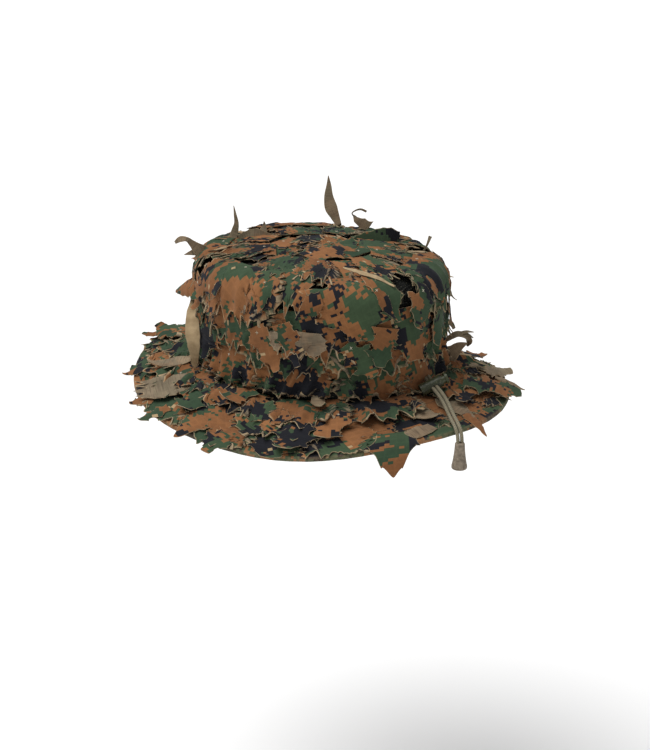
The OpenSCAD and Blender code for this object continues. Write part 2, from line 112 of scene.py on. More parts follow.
class Look:
    """A material whose nodes are added one call at a time."""

    def __init__(self, name):
        self.material = bpy.data.materials.new(name)
        self.material.use_nodes = True
        self.tree = self.material.node_tree
        self.tree.nodes.clear()
        self.uv = self.node("ShaderNodeUVMap", {"uv_map": "flat"}).outputs[0]

    def node(self, kind, settings=None, inputs=None):
        made = self.tree.nodes.new(kind)
        for key, value in (settings or {}).items():
            setattr(made, key, value)
        for key, value in (inputs or {}).items():
            if isinstance(value, bpy.types.NodeSocket):
                self.tree.links.new(value, made.inputs[key])
            else:
                made.inputs[key].default_value = value
        return made

    def math(self, operation, a, b):
        return self.node("ShaderNodeMath", {"operation": operation}, {0: a, 1: b}).outputs[0]

    def times(self, a, b):
        return self.math("MULTIPLY", a, b)

    def plus(self, a, b):
        return self.math("ADD", a, b)

    def vector(self, operation, a, b):
        return self.node("ShaderNodeVectorMath", {"operation": operation}, {0: a, 1: b}).outputs[0]

    def brighter(self, colour, factor):
        settings = {"operation": "SCALE"}
        return self.node("ShaderNodeVectorMath", settings, {0: colour, "Scale": factor}).outputs[0]

    def mix(self, share, a, b, blend="MIX"):
        settings = {"data_type": "RGBA", "blend_type": blend}
        return self.node("ShaderNodeMix", settings, {0: share, 6: a, 7: b}).outputs[2]

    def noise(self, vector, scale, detail=2.0, roughness=0.5):
        inputs = {"Vector": vector, "Scale": scale, "Detail": detail, "Roughness": roughness}
        return self.node("ShaderNodeTexNoise", None, inputs).outputs[0]

    def spread(self, value, low, high):
        """Value from low to high, mapped to 0 to 1."""
        return self.node("ShaderNodeMapRange", None, {0: value, 1: low, 2: high}).outputs[0]

    def wave(self, vector, pitch, axis):
        """Thread bands a pitch apart, in metres."""
        settings = {"wave_type": "BANDS", "bands_direction": axis}
        inputs = {"Vector": vector, "Scale": 0.3142 / pitch}
        return self.node("ShaderNodeTexWave", settings, inputs).outputs[1]

    def attribute(self, name):
        return self.node("ShaderNodeAttribute", {"attribute_name": name}).outputs["Fac"]

    def finish(self, colour, height, roughness, bump=0.4, depth=0.0004, sheen=0.0, specular=0.3,
               metallic=0.0):
        lift = self.node("ShaderNodeBump", None, {"Strength": bump, "Distance": depth, "Height": height})
        inputs = {"Base Color": colour, "Roughness": roughness, "Normal": lift.outputs[0],
                  "Metallic": metallic, "Sheen Weight": sheen, "Specular IOR Level": specular}
        shader = self.node("ShaderNodeBsdfPrincipled", None, inputs)
        out = self.node("ShaderNodeOutputMaterial")
        self.tree.links.new(shader.outputs[0], out.inputs[0])
        return self.material


BROWN, BROWN_DARK = srgb("#8C5F3B"), srgb("#714A2D")
GREEN, GREEN_DARK = srgb("#3F5038"), srgb("#2A3D2C")
BLACK, TAN = srgb("#17181E"), srgb("#A58D6A")
REVERSE, REVERSE_DARK = srgb("#9A8970"), srgb("#6E614F")
CUT = srgb("#BFA681")
BLOCK = 2.1


def camo_print(look):
    """The blotched print: blocks of a few millimetres in four colours."""
    fine = look.vector("SNAP", look.uv, (BLOCK * 1.15 * MM, BLOCK * MM, 1))
    grain = look.node("ShaderNodeTexWhiteNoise", {"noise_dimensions": "3D"}, {"Vector": fine}).outputs[0]

    def patches(scale, shift, speckle):
        here = (shift, 2 * shift, 3 * shift)
        big = look.noise(look.vector("ADD", fine, here), scale, 2.0, 0.6)
        small = look.noise(look.vector("ADD", fine, here), scale * 2.7, 3.0, 0.65)
        both = look.plus(look.times(big, 0.68), look.times(small, 0.32))
        return look.plus(both, look.times(look.math("SUBTRACT", grain, 0.5), speckle))

    tone = look.spread(look.noise(look.uv, 16.0), 0.3, 0.7)
    colour = look.mix(tone, BROWN, BROWN_DARK)
    green = look.math("GREATER_THAN", patches(26.0, 3.7, 0.05), 0.505)
    colour = look.mix(green, colour, look.mix(tone, GREEN, GREEN_DARK))
    dark = look.math("GREATER_THAN", patches(31.0, 11.3, 0.05), 0.545)
    colour = look.mix(dark, colour, BLACK)
    tan = look.math("GREATER_THAN", patches(60.0, 23.9, 0.10), 0.655)
    return look.mix(tan, colour, TAN)


def threads(look, pitch=0.62):
    warp, weft = look.wave(look.uv, pitch * MM, "X"), look.wave(look.uv, pitch * MM, "Y")
    return look.plus(look.times(warp, 0.5), look.times(weft, 0.5))


def ripstop(look):
    """1 on the thicker threads of the grid, 0 between them."""
    bars = [look.math("POWER", look.wave(look.uv, 5.2 * MM, axis), 14.0) for axis in "XY"]
    return look.math("MAXIMUM", *bars)


def camo_look(name, dim=1.0):
    look = Look(name)
    colour = camo_print(look)
    weave, grid = threads(look), ripstop(look)
    colour = look.mix(look.times(grid, 0.3), colour, look.brighter(colour, 1.35))
    shade = look.spread(look.noise(look.uv, 210.0, 3.0), 0.25, 0.75)
    colour = look.mix(0.22, colour, look.mix(shade, (0.25, 0.25, 0.25, 1), (0.85, 0.85, 0.85, 1)), "OVERLAY")
    colour = look.mix(look.times(weave, 0.14), colour, (0.02, 0.02, 0.02, 1))
    rub = look.spread(look.noise(look.uv, 330.0, 2.0), 0.35, 0.6)
    worn = look.times(look.attribute("wear_and_painted_light"), look.plus(look.times(rub, 0.55), 0.3))
    colour = look.mix(worn, colour, CUT)
    # a dim below 1 paints shade into the print: a darker copy of the same camo for faces that look away from
    # the light
    if dim < 1:
        colour = look.mix(1 - dim, colour, (0.01, 0.01, 0.01, 1))
    height = look.plus(look.times(weave, 0.5), look.times(grid, 0.35))
    height = look.plus(height, look.noise(look.uv, 480.0, 3.0))
    roughness = look.plus(look.times(shade, 0.1), 0.84)
    return look.finish(colour, height, roughness, bump=0.5, depth=0.00025, sheen=0.04, specular=0.15)


def reverse_look(name):
    """Unprinted side: taupe, with the print showing through and drawn threads."""
    look = Look(name)
    mottled = look.mix(look.spread(look.noise(look.uv, 60.0, 3.0), 0.3, 0.7), REVERSE, REVERSE_DARK)
    colour = look.mix(0.16, mottled, camo_print(look))
    stretched = look.vector("MULTIPLY", look.uv, (70.0, 1500.0, 1.0))
    drawn = look.spread(look.noise(stretched, 1.0, 2.0), 0.5, 0.7)
    colour = look.mix(look.times(drawn, 0.6), colour, srgb("#463B30"))
    crossed = look.noise(look.vector("MULTIPLY", look.uv, (1400.0, 90.0, 1.0)), 1.0, 2.0)
    colour = look.mix(look.times(look.spread(crossed, 0.55, 0.72), 0.4), colour, srgb("#51453A"))
    weave = threads(look)
    colour = look.mix(look.times(weave, 0.16), colour, (0.03, 0.03, 0.03, 1))
    worn = look.times(look.attribute("wear_and_painted_light"), 0.6)
    colour = look.mix(worn, colour, CUT)
    height = look.plus(look.times(weave, 0.6), look.noise(look.uv, 420.0, 3.0))
    return look.finish(colour, height, 0.92, bump=0.5, depth=0.00025, sheen=0.04, specular=0.15)


def plain_cloth(name, colour, second, pitch=0.7, scale=120.0, sheen=0.1):
    look = Look(name)
    base = look.mix(look.spread(look.noise(look.uv, scale, 3.0), 0.3, 0.7), colour, second)
    weave = threads(look, pitch)
    base = look.mix(look.times(weave, 0.3), base, (0.01, 0.01, 0.01, 1))
    worn = look.times(look.attribute("wear_and_painted_light"), 0.35)
    base = look.mix(worn, base, srgb("#7A7468"))
    height = look.plus(weave, look.noise(look.uv, 500.0, 2.0))
    return look.finish(base, height, 0.9, bump=0.5, depth=0.0003, sheen=sheen, specular=0.2)


def mesh_look(name):
    """Black honeycomb spacer mesh: cells painted near black as the shade seen through the holes, inside
    raised, slightly shiny threads with a painted glint.
    """
    look = Look(name)
    settings = {"feature": "DISTANCE_TO_EDGE", "voronoi_dimensions": "2D"}
    inputs = {"Vector": look.uv, "Scale": 420.0, "Randomness": 0.25}
    cells = look.node("ShaderNodeTexVoronoi", settings, inputs)
    thread = look.math("SUBTRACT", 1.0, look.spread(cells.outputs[0], 0.05, 0.22))
    shade = look.noise(look.uv, 90.0, 2.0)
    # painted light: the threads get a painted glint and the cells are painted near black, as the shade seen
    # through the holes
    glint = look.mix(shade, srgb("#0E0F0E"), srgb("#2C2D28"))
    colour = look.mix(thread, srgb("#020202"), glint)
    fleck = look.spread(look.noise(look.uv, 700.0, 1.0), 0.66, 0.72)
    colour = look.mix(look.times(fleck, 0.5), colour, srgb("#8C8A72"))
    return look.finish(colour, thread, 0.6, bump=0.9, depth=0.0008, specular=0.2)


def cord_look(name):
    """Braid: painted highlights on the crowns of the strands, painted shade between them."""
    look = Look(name)
    strand = look.attribute("wear_and_painted_light")
    # the strand crests are painted light and the hollows between them painted dark, as highlight and shade
    colour = look.mix(strand, srgb("#211E16"), srgb("#9C937A"))
    tone = look.spread(look.noise(look.uv, 160.0, 3.0), 0.3, 0.7)
    colour = look.mix(look.times(tone, 0.5), colour, srgb("#5E563F"))
    height = look.noise(look.uv, 900.0, 2.0)
    return look.finish(colour, height, 0.7, bump=0.5, depth=0.0002, sheen=0.1, specular=0.3)


def moulded_look(name, colour, second, roughness, scale, metallic=0.0, bump=0.35):
    """Moulded or enamelled piece, by its own place in the frame."""
    look = Look(name)
    place = look.node("ShaderNodeTexCoord").outputs["Object"]
    speckle = look.spread(look.noise(place, scale, 4.0), 0.35, 0.65)
    base = look.mix(speckle, colour, second)
    scuff = look.spread(look.noise(place, scale * 3.5, 2.0), 0.62, 0.75)
    base = look.mix(look.times(scuff, 0.4), base, srgb("#B5AC98"))
    rough = look.plus(look.times(speckle, 0.2), roughness - 0.1)
    return look.finish(base, look.noise(place, scale * 5, 3.0), rough, bump=bump, depth=0.0002, specular=0.4,
                       metallic=metallic)


camo = camo_look("camo_cloth")
# the same camo darkened with painted shade, for undersides and shaded folds
camo_shaded = camo_look("camo_underside_shaded", dim=0.8)
reverse = reverse_look("leaf_reverse")
cut_edge = plain_cloth("leaf_cut_edge", CUT, srgb("#9C8563"), scale=160.0)
dark_tape = plain_cloth("dark_tape", srgb("#24251F"), srgb("#33342C"), pitch=1.1)
label_cloth = plain_cloth("label_tape", srgb("#D9D6CB"), srgb("#C8C3B4"), pitch=0.5, sheen=0.3)
felt = plain_cloth("interlining_felt", srgb("#CFC8B6"), srgb("#B7AE99"), pitch=1.6, scale=500.0)
black_mesh = mesh_look("crown_mesh")
braid = cord_look("braided_cord")
bell_rubber = moulded_look("bell_rubber", srgb("#8E8170"), srgb("#6D6254"), 0.75, 420.0, bump=0.6)
lock_plastic = moulded_look("lock_plastic", srgb("#3B4028"), srgb("#2A2E1E"), 0.45, 300.0)
plunger_plastic = moulded_look("plunger_plastic", srgb("#454A30"), srgb("#33371F"), 0.4, 340.0)
enamel = moulded_look("eyelet_enamel", srgb("#2F2F26"), srgb("#45453A"), 0.45, 500.0, metallic=0.6)
steel = moulded_look("spring_steel", srgb("#A8A8A4"), srgb("#84847E"), 0.35, 700.0, metallic=1.0)
white_thread = plain_cloth("white_thread", srgb("#DDD6C2"), srgb("#B9AE94"), pitch=0.3, scale=900.0)
brown_thread = plain_cloth("brown_thread", srgb("#8C7152"), srgb("#5F4C37"), pitch=0.3, scale=900.0)

# ---- mesh building ----


def unit(v):
    return v / np.linalg.norm(v, axis=-1, keepdims=True)


def run_length(line):
    """Distance along a line at each of its points."""
    return np.concatenate([[0], np.cumsum(np.linalg.norm(np.diff(line, axis=0), axis=1))])


def both_sides(cols):
    """Columns across a leaf, from the distances out to one edge."""
    return np.concatenate([-np.array(cols[:0:-1]), cols])


def make_object(name, points, faces, materials, which=None, uv=None, wear_and_painted_light=None, flat=None):
    """points in mm; which and flat give each face's material and whether it is unsmoothed,
    uv and wear give each point's place on the flat cloth and how worn it is, or on a braid where the crests
    of its strands lie, which the cord's look paints as highlight with painted shade between."""
    mesh = bpy.data.meshes.new(name)
    points = np.asarray(points, float)
    mesh.from_pydata((points * MM).tolist(), [], [list(map(int, f)) for f in faces])
    for material in materials:
        mesh.materials.append(material)
    if which is not None:
        mesh.polygons.foreach_set("material_index", np.asarray(which, np.int32))
    smooth = np.ones(len(mesh.polygons), bool) if flat is None else ~np.asarray(flat, bool)
    mesh.polygons.foreach_set("use_smooth", smooth)
    corners = np.zeros(len(mesh.loops), np.int32)
    mesh.loops.foreach_get("vertex_index", corners)
    if uv is None:
        uv = points[:, :2]
    layer = mesh.uv_layers.new(name="flat")
    layer.data.foreach_set("uv", (np.asarray(uv, float)[corners] * MM).ravel())
    amount = mesh.attributes.new("wear_and_painted_light", "FLOAT", "POINT")
    amount.data.foreach_set("value", np.zeros(len(points)) if wear_and_painted_light is None else np.asarray(wear_and_painted_light, float))
    mesh.update()
    ob = bpy.data.objects.new(name, mesh)
    scene.collection.objects.link(ob)
    return ob


class Cloth:
    """Thick cloth over a grid of points: row i along it, column j across it."""

    def __init__(self, grid, hint, thick, uv, wear_and_painted_light):
        rows, cols = grid.shape[:2]
        along, across = np.gradient(grid, axis=0), np.gradient(grid, axis=1)
        normal = np.cross(along, across)
        normal /= np.maximum(np.linalg.norm(normal, axis=-1, keepdims=True), 1e-9)
        flip = np.sum(normal * hint) < 0
        if flip:
            normal = -normal
        self.normal = normal
        self.points = np.concatenate([grid.reshape(-1, 3), (grid - thick * normal).reshape(-1, 3)])
        t = np.arange(rows * cols).reshape(rows, cols)
        b = t + rows * cols
        top = np.stack([t[:-1, :-1], t[1:, :-1], t[1:, 1:], t[:-1, 1:]], -1).reshape(-1, 4)
        under = np.stack([b[:-1, :-1], b[:-1, 1:], b[1:, 1:], b[1:, :-1]], -1).reshape(-1, 4)
        rims = [np.stack([t[1:, 0], t[:-1, 0], b[:-1, 0], b[1:, 0]], -1),
                np.stack([t[:-1, -1], t[1:, -1], b[1:, -1], b[:-1, -1]], -1),
                np.stack([t[0, :-1], t[0, 1:], b[0, 1:], b[0, :-1]], -1),
                np.stack([t[-1, 1:], t[-1, :-1], b[-1, :-1], b[-1, 1:]], -1)]
        rim = np.concatenate(rims)
        self.faces = np.concatenate([top, under, rim])
        if flip:
            self.faces = self.faces[:, ::-1]
        self.which = np.repeat([0, 1, 2], [len(top), len(under), len(rim)])
        self.flat = self.which == 2
        self.uv = np.concatenate([uv.reshape(-1, 2)] * 2)
        self.wear_and_painted_light = np.concatenate([wear_and_painted_light.ravel()] * 2)


def build(name, cloths, materials):
    """One object from several cloths."""
    start, points, faces = 0, [], []
    for cloth in cloths:
        faces.append(cloth.faces + start)
        points.append(cloth.points)
        start += len(cloth.points)
    rest = (np.concatenate([getattr(c, part) for c in cloths]) for part in ("which", "uv", "wear_and_painted_light", "flat"))
    return make_object(name, np.concatenate(points), np.concatenate(faces), materials, *rest)


def piece(ob, body, slot, *replaced):
    """Puts an object on its body and hides the CAD solids that it replaces, given by name; slot is not used.
    """
    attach(ob, body)
    if replaced:
        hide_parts(*replaced)
    return ob


def declare_sheet(ob, size):
    """size is the flat width and length in mm; the cut's area is measured on the mesh."""
    area = sum(p.area for p in ob.data.polygons) / 2
    width, length = (max(s * MM, 0.0105) for s in size)
    if area > width * length:
        length = area / width * 1.001
    if area < 0.3 * width * length:
        width = area / (0.32 * length)


# ---- the hat's surfaces ----


def oval(th, q, z):
    th = np.radians(th)
    x, y, z = np.broadcast_arrays((OVAL_X + q) * np.sin(th), -(OVAL_Y + q) * np.cos(th), z)
    return np.stack([x, y, z], -1)


def crown_pt(th, m, h):
    """Outer face of the crown: m runs up the wall, over the shoulder and in across the tip."""
    th, m, h = np.broadcast_arrays(*(np.asarray(v, float) for v in (th, m, h)))
    wall = oval(th, CROWN_T - CROWN_TAPER * m / WALL_H + h, m)
    a = np.clip((m - WALL_H) / SHOULDER_R, 0, math.pi / 2)
    shoulder = oval(th, CROWN_T - CROWN_TAPER - SHOULDER_R + (SHOULDER_R + h) * np.cos(a),
                    WALL_H + (SHOULDER_R + h) * np.sin(a))
    k = 1 - (m - WALL_H - SHOULDER_LEN) / TIP_X
    s, c = np.sin(np.radians(th)), np.cos(np.radians(th))
    tip = np.stack([k * TIP_X * s, -k * TIP_Y * c, CROWN_H + TIP_RISE * (1 - k * k) + h], -1)
    low, high = (m <= WALL_H)[..., None], (m <= WALL_H + SHOULDER_LEN)[..., None]
    return np.where(low, wall, np.where(high, shoulder, tip))


def tip_pt(x, y, h):
    x, y, h = np.broadcast_arrays(*(np.asarray(v, float) for v in (x, y, h)))
    k2 = (x / TIP_X) ** 2 + (y / TIP_Y) ** 2
    return np.stack([x, y, CROWN_H + TIP_RISE * (1 - k2) + h], -1)


def brim_pt(th, m, h):
    th, m, h = np.broadcast_arrays(*(np.asarray(v, float) for v in (th, m, h)))
    c = np.cos(np.radians(th))
    drop = DROP_SIDES + (np.where(c > 0, DROP_FRONT, DROP_REAR) - DROP_SIDES) * c * c
    f = m / BRIM_W
    wave = BRIM_WAVE * f * f * np.sin(np.radians(5 * th + 50))
    return oval(th, np.sqrt(BRIM_W ** 2 - drop ** 2) * f, BRIM_CORE_Z - drop * f + wave + h)


TURN = 7.0  # half length of the bend from the crown to the brim


def outside_pt(th, m, h):
    """The crown for m above 0, turning out over the brim's upper face for m below 0."""
    th, m, h = np.broadcast_arrays(*(np.asarray(v, float) for v in (th, m, h)))
    f = np.clip((TURN - m) / (2 * TURN), 0, 1)[..., None]
    high, low = crown_pt(th, TURN, h), brim_pt(th, TURN, h + BRIM_FACE)
    corner = crown_pt(th, 0 * m, h)
    corner[..., 2] = brim_pt(th, 0 * m, h + BRIM_FACE)[..., 2]
    bend = (1 - f) ** 2 * high + 2 * f * (1 - f) * corner + f ** 2 * low
    on_brim = brim_pt(th, -m, h + BRIM_FACE)
    outer = np.where((m < -TURN)[..., None], on_brim, bend)
    return np.where((m > TURN)[..., None], crown_pt(th, m, h), outer)


SURFACE = {"crown": outside_pt, "brim": brim_pt, "tip": tip_pt}

# ---- leaves ----

# Distance from the middle to the edge at which the columns of a leaf lie
COLUMNS = {"leaf": (0.0, 0.28, 0.55, 0.8, 0.955, 1.0),
           "panel": tuple(np.linspace(0, 0.95, 21)) + (0.982, 1.0),
           "strip": (0.0, 0.5, 0.9, 1.0)}


def scoops(t, count, depth, dice):
    """Bites of uneven size along t: a hooked point at each end and a hollow between."""
    marks = (np.arange(count + 1) + np.concatenate([[0], dice.uniform(-0.32, 0.32, count - 1), [0]])) / count
    k = np.clip(np.searchsorted(marks, t, side="right") - 1, 0, count - 1)
    x = np.clip((t - marks[k]) / (marks[k + 1] - marks[k]), 0, 1)
    depths = depth * dice.uniform(0.35, 1.0, count)
    lean = dice.uniform(0.55, 1.9, count)
    return depths[k] * np.sin(np.pi * x ** lean[k]) ** 0.75, x


def outline(kind, t, dice, teeth, depth):
    """Half width over the greatest half width, along one side."""
    if kind == "panel":
        base = 0.8 + 0.2 * np.sin(np.pi * np.clip(t * 1.1, 0, 1)) - 0.2 * t ** 4
    elif kind == "blade":
        base = np.clip(0.35 + 2.6 * t, 0, 1) * (1 - t) ** 0.8 * 1.25
    elif kind == "point":
        base = np.clip(0.6 + 1.2 * t, 0, 1) * np.minimum(1, (1 - t) * 1.7)
    else:
        base = np.clip(0.5 + 1.7 * t, 0, 1) * (1 - t) ** 0.42 * 1.2
    lobes = 0.0
    if kind == "lobed":
        lobes, _ = scoops(t, 3, 0.62, dice)
    small, x = scoops(t, teeth, depth, dice)
    return np.clip(base, 0, 1.05) * (1 - lobes) * (1 - small), x


def ripple(u, v, dice, size, low=16.0, high=42.0):
    """Smooth folds with wavelengths between low and high."""
    total, terms = 0.0, 5
    for _ in range(terms):
        wavelength, angle, phase = dice.uniform(low, high), dice.uniform(0, np.pi), dice.uniform(0, 2 * np.pi)
        total = total + np.sin(2 * np.pi * (u * np.cos(angle) + v * np.sin(angle)) / wavelength + phase)
    return size * total / math.sqrt(terms)


tack_frames = []


def leaf_cloth(seed, zone, a, b, heading, length, width, height, lies, bend, kind, teeth, depth,
               wrinkle=0.45, curl=0.0, puff=0.8, gather=0.0, flare=1.8, tack=True):
    """A cut leaf sewn at a, b on a surface; it lies flat for a share of its length, then bends up."""
    dice = np.random.default_rng(seed)
    js = both_sides(COLUMNS["panel" if kind == "panel" else "leaf"])
    rows = 36 if kind == "panel" else 60
    t = np.linspace(0, 1, rows + 1)
    left, x_left = outline(kind, t, dice, teeth, depth)
    right_, x_right = outline(kind, t, dice, teeth, depth)
    half = np.where(js[None, :] < 0, left[:, None], right_[:, None]) * width / 2
    half = np.maximum(half, 0.12)
    v = half * js[None, :]
    x = np.where(js[None, :] < 0, x_left[:, None], x_right[:, None])
    reach = length * np.ones_like(js)
    if kind == "panel":
        big, _ = scoops((js + 1) / 2, max(3, int(width / 15)), 0.36, dice)
        fine, _ = scoops((js + 1) / 2, max(6, int(width / 6.5)), 0.13, dice)
        reach = length * (1 - big) * (1 - fine) * (1 - 0.12 * js ** 2)
    u = t[:, None] * reach[None, :]
    hook = np.abs(js[None, :]) ** 5 * (x ** 2 - 0.3) * np.sin(np.pi * t[:, None]) ** 0.4
    u = u + 0.045 * length * hook
    u = np.clip(u, 0, length)
    flat = lies * length
    phi = np.radians(bend) * np.clip((u - flat) / max(length - flat, 1e-6), 0, 1)
    if abs(bend) > 0.5 and lies < 1:
        radius = (length - flat) / np.radians(bend)
        s0 = np.where(u > flat, flat + radius * np.sin(phi), u)
        s1 = np.where(u > flat, radius * (1 - np.cos(phi)), 0.0)
    else:
        s0, s1 = u, np.zeros_like(u)
    free = 0.25 + 0.75 * t[:, None]
    lift = ripple(u, v, dice, wrinkle) * free + ripple(u, v, dice, 0.12, 5, 11)
    edge = np.clip((u / np.maximum(reach[None, :], 1e-6) - 0.8) / 0.2, 0, 1)
    flared = np.sin(v * dice.uniform(0.12, 0.3) + dice.uniform(0, 6)) ** 2
    lift = lift + flare * edge ** 2 * (0.4 + 0.6 * flared)
    lift = lift + puff * np.sin(np.pi * t[:, None]) * (1 - js[None, :] ** 2) * 1.5
    lift = lift + curl * js[None, :] ** 2 * free * half / 10
    if gather:
        fold, phase = dice.uniform(12, 19), dice.uniform(0, 6)
        swing = np.sin(2 * np.pi * v / fold + phase + 1.1 * np.sin(u / 8 + phase)) * 0.5 + 0.5
        lift = lift + gather * swing ** 1.8 * np.clip(t[:, None] * 1.3, 0, 1) ** 1.1
    lift = np.maximum(lift, -0.35)
    head = np.radians(heading)
    c = s0 * np.sin(head) + v * np.cos(head)
    m = s0 * np.cos(head) - v * np.sin(head)
    scale_a = 1.0 if zone == "tip" else 180 / np.pi / OVAL_MEAN
    surface = SURFACE[zone]
    grid = surface(a + c * scale_a, b + m, height + s1 + lift)
    hint = surface(a + c * scale_a, b + m, height + s1 + lift + 1) - grid
    turn = dice.uniform(-0.5, 0.5)
    shift = dice.uniform(0, 4000, 2)
    uv = np.stack([u * np.sin(turn) + v * np.cos(turn), u * np.cos(turn) - v * np.sin(turn)], -1) + shift
    wear_and_painted_light = np.broadcast_to((np.abs(js) > 0.99)[None, :], u.shape).astype(float).copy()
    wear_and_painted_light[-1, :] = 1.0
    cloth = Cloth(grid, hint, CLOTH_T, uv, wear_and_painted_light)
    if tack:
        i, j = int(rows * 0.14), len(js) // 2 + int(dice.integers(-1, 2))
        tack_frames.append((grid[i, j], cloth.normal[i, j], dice.uniform(0, np.pi)))
    return cloth


def strip_cloth(seed, points, widths, facing, rows=30, teeth=0, depth=0.25, curl=0.0):
    """A narrow leaf along given points; facing is where its first side looks, once or per point."""
    dice = np.random.default_rng(seed)
    points, n = np.asarray(points, float), len(points)
    facing = np.broadcast_to(np.asarray(facing, float), (n, 3))
    s = np.linspace(0, n - 1, rows + 1)
    line, face = smooth(points, s), smooth(facing, s)
    side_w = smooth(np.asarray(widths, float)[:, None], s)[:, 0]
    if teeth:
        cut, _ = scoops(np.linspace(0, 1, rows + 1), teeth, depth, dice)
        side_w = side_w * (1 - cut)
    along = unit(np.gradient(line, axis=0))
    side = unit(np.cross(along, face))
    normal = np.cross(side, along)
    js = both_sides(COLUMNS["strip"])
    v = js[None, :] * np.maximum(side_w, 0.25)[:, None] / 2
    dist = run_length(line)
    u = np.broadcast_to(dist[:, None], v.shape)
    lift = ripple(u, v, dice, 0.15, 8, 20) + curl * js[None, :] ** 2 * np.abs(v)
    grid = line[:, None] + side[:, None] * v[..., None] + normal[:, None] * lift[..., None]
    uv = np.stack([v, u], -1) + dice.uniform(0, 4000, 2)
    wear_and_painted_light = np.broadcast_to((np.abs(js) > 0.99)[None, :], v.shape).astype(float)
    return Cloth(grid, normal[:, None] + 0 * grid, CLOTH_T, uv, wear_and_painted_light)


def smooth(values, s):
    """Catmull-Rom curve through the values, at the stations s."""
    n = len(values)
    padded = np.concatenate([[2 * values[0] - values[1]], values, [2 * values[-1] - values[-2]]])
    i = np.clip(s.astype(int), 0, n - 2)
    f = (s - i)[:, None]
    p0, p1, p2, p3 = padded[i], padded[i + 1], padded[i + 2], padded[i + 3]
    return 0.5 * (2 * p1 + (p2 - p0) * f + (2 * p0 - 5 * p1 + 4 * p2 - p3) * f ** 2
                  + (3 * p1 - p0 - 3 * p2 + p3) * f ** 3)


CAMO_UP = [camo, reverse, cut_edge]
REVERSE_UP = [reverse, camo, cut_edge]
TAN_UP = [cut_edge, camo, cut_edge]


def add_leaf(name, cloths, side, size, body="hat", node=None):
    """size is the leaf's flat width and length; node is the CAD leaf that it replaces."""
    ob = piece(build(name, cloths, side), body, "leaf_cloth", *([node] if node else []))
    declare_sheet(ob, size)


def ribbon_leaf(name, side, size, ribbons, node=None):
    """A leaf made of ribbons; one that replaces a CAD leaf rides on that leaf's body."""
    add_leaf(name, [strip_cloth(*ribbon) for ribbon in ribbons], side, size, node or "hat", node)


def scatter(i, k):
    """A repeatable value from -1 to 1 for the leaf i; k tells its uses apart."""
    s = math.sin(math.radians(i * 127.1 + k * 311.7)) * 43758.5
    return 2 * (s - math.floor(s)) - 1


def row_leaf(i, th, m, head, size, height, bend):
    """The place, heading, length, width, height and bend of the leaf i of a row, as the CAD leaf has them."""
    return (th + 3 * scatter(i, 1), m + 1.5 * scatter(i, 2), head + 6 * scatter(i, 3),
            size[0] + 2 * scatter(i, 4), size[1], height + (i % 2) * LEAF_PITCH, bend + 4 * scatter(i, 5))


RING = 2 * math.pi * OVAL_MEAN
ROWS = [
    ("leaf_crown_low", "crown", 8, lambda i: (170 + (i + 0.5) * 45, 0.66 * WALL_H, 180),
     (0.42 * WALL_H, 1.12 * RING / 8), CROWN_LEAF_H, 0.5, 18),
    ("leaf_crown_high", "crown", 8, lambda i: (170 + i * 45, WALL_H - 3, 180),
     (0.55 * WALL_H, 1.12 * RING / 8), CROWN_LEAF_H + 2 * LEAF_PITCH, 0.55, 16),
    ("leaf_shoulder", "crown", 6, lambda i: (20 + i * 60, WALL_H + SHOULDER_LEN + 8, 180),
     (SHOULDER_LEN + 30, 0.95 * RING / 6), CROWN_LEAF_H + 4 * LEAF_PITCH, 0.7, 14),
    ("leaf_brim", "brim", 8, lambda i: (210 + (i + 0.5) * 35, 14, 0),
     (BRIM_W - 20, 0.9 * RING / 8), BRIM_LEAF_H, 0.75, 10)]

seed = 100
for stem, zone, count, place, size, height, lies, bend in ROWS:
    for i in range(count):
        seed += 1
        th, m, head, length, width, h, bend_i = row_leaf(i, *place(i), size, height, bend)
        kind = "lobed" if (i + len(stem)) % 4 == 3 else "panel"
        cloth = leaf_cloth(seed, zone, th, m, head, length * 1.06, width, h, lies, bend_i, kind,
                           teeth=7 if kind == "panel" else 8, depth=0.2, puff=1.4, wrinkle=0.95,
                           gather=4.5 if stem == "leaf_crown_low" else 2.2, flare=2.6)
        name = f"{stem}_{i + 1}"
        add_leaf(name + "_cloth", [cloth], CAMO_UP, (width, length), node=name)

TIPS = [("leaf_tip_1", 26, -54, -20, 60, 50, 0.5), ("leaf_tip_2", -34, 52, 160, 60, 48, 1.6)]
for name, x, y, head, length, width, h in TIPS:
    seed += 1
    cloth = leaf_cloth(seed, "tip", x, y, head, length, width, h, 0.7, 12, "panel", 7, 0.2)
    add_leaf(name + "_cloth", [cloth], CAMO_UP, (width, length), node=name)


# More leaves, beyond the CAD nodes
def under_tail(th):
    return 156 < th % 360 < 187


def chance(i, k):
    return 0.5 + 0.5 * scatter(i, k)


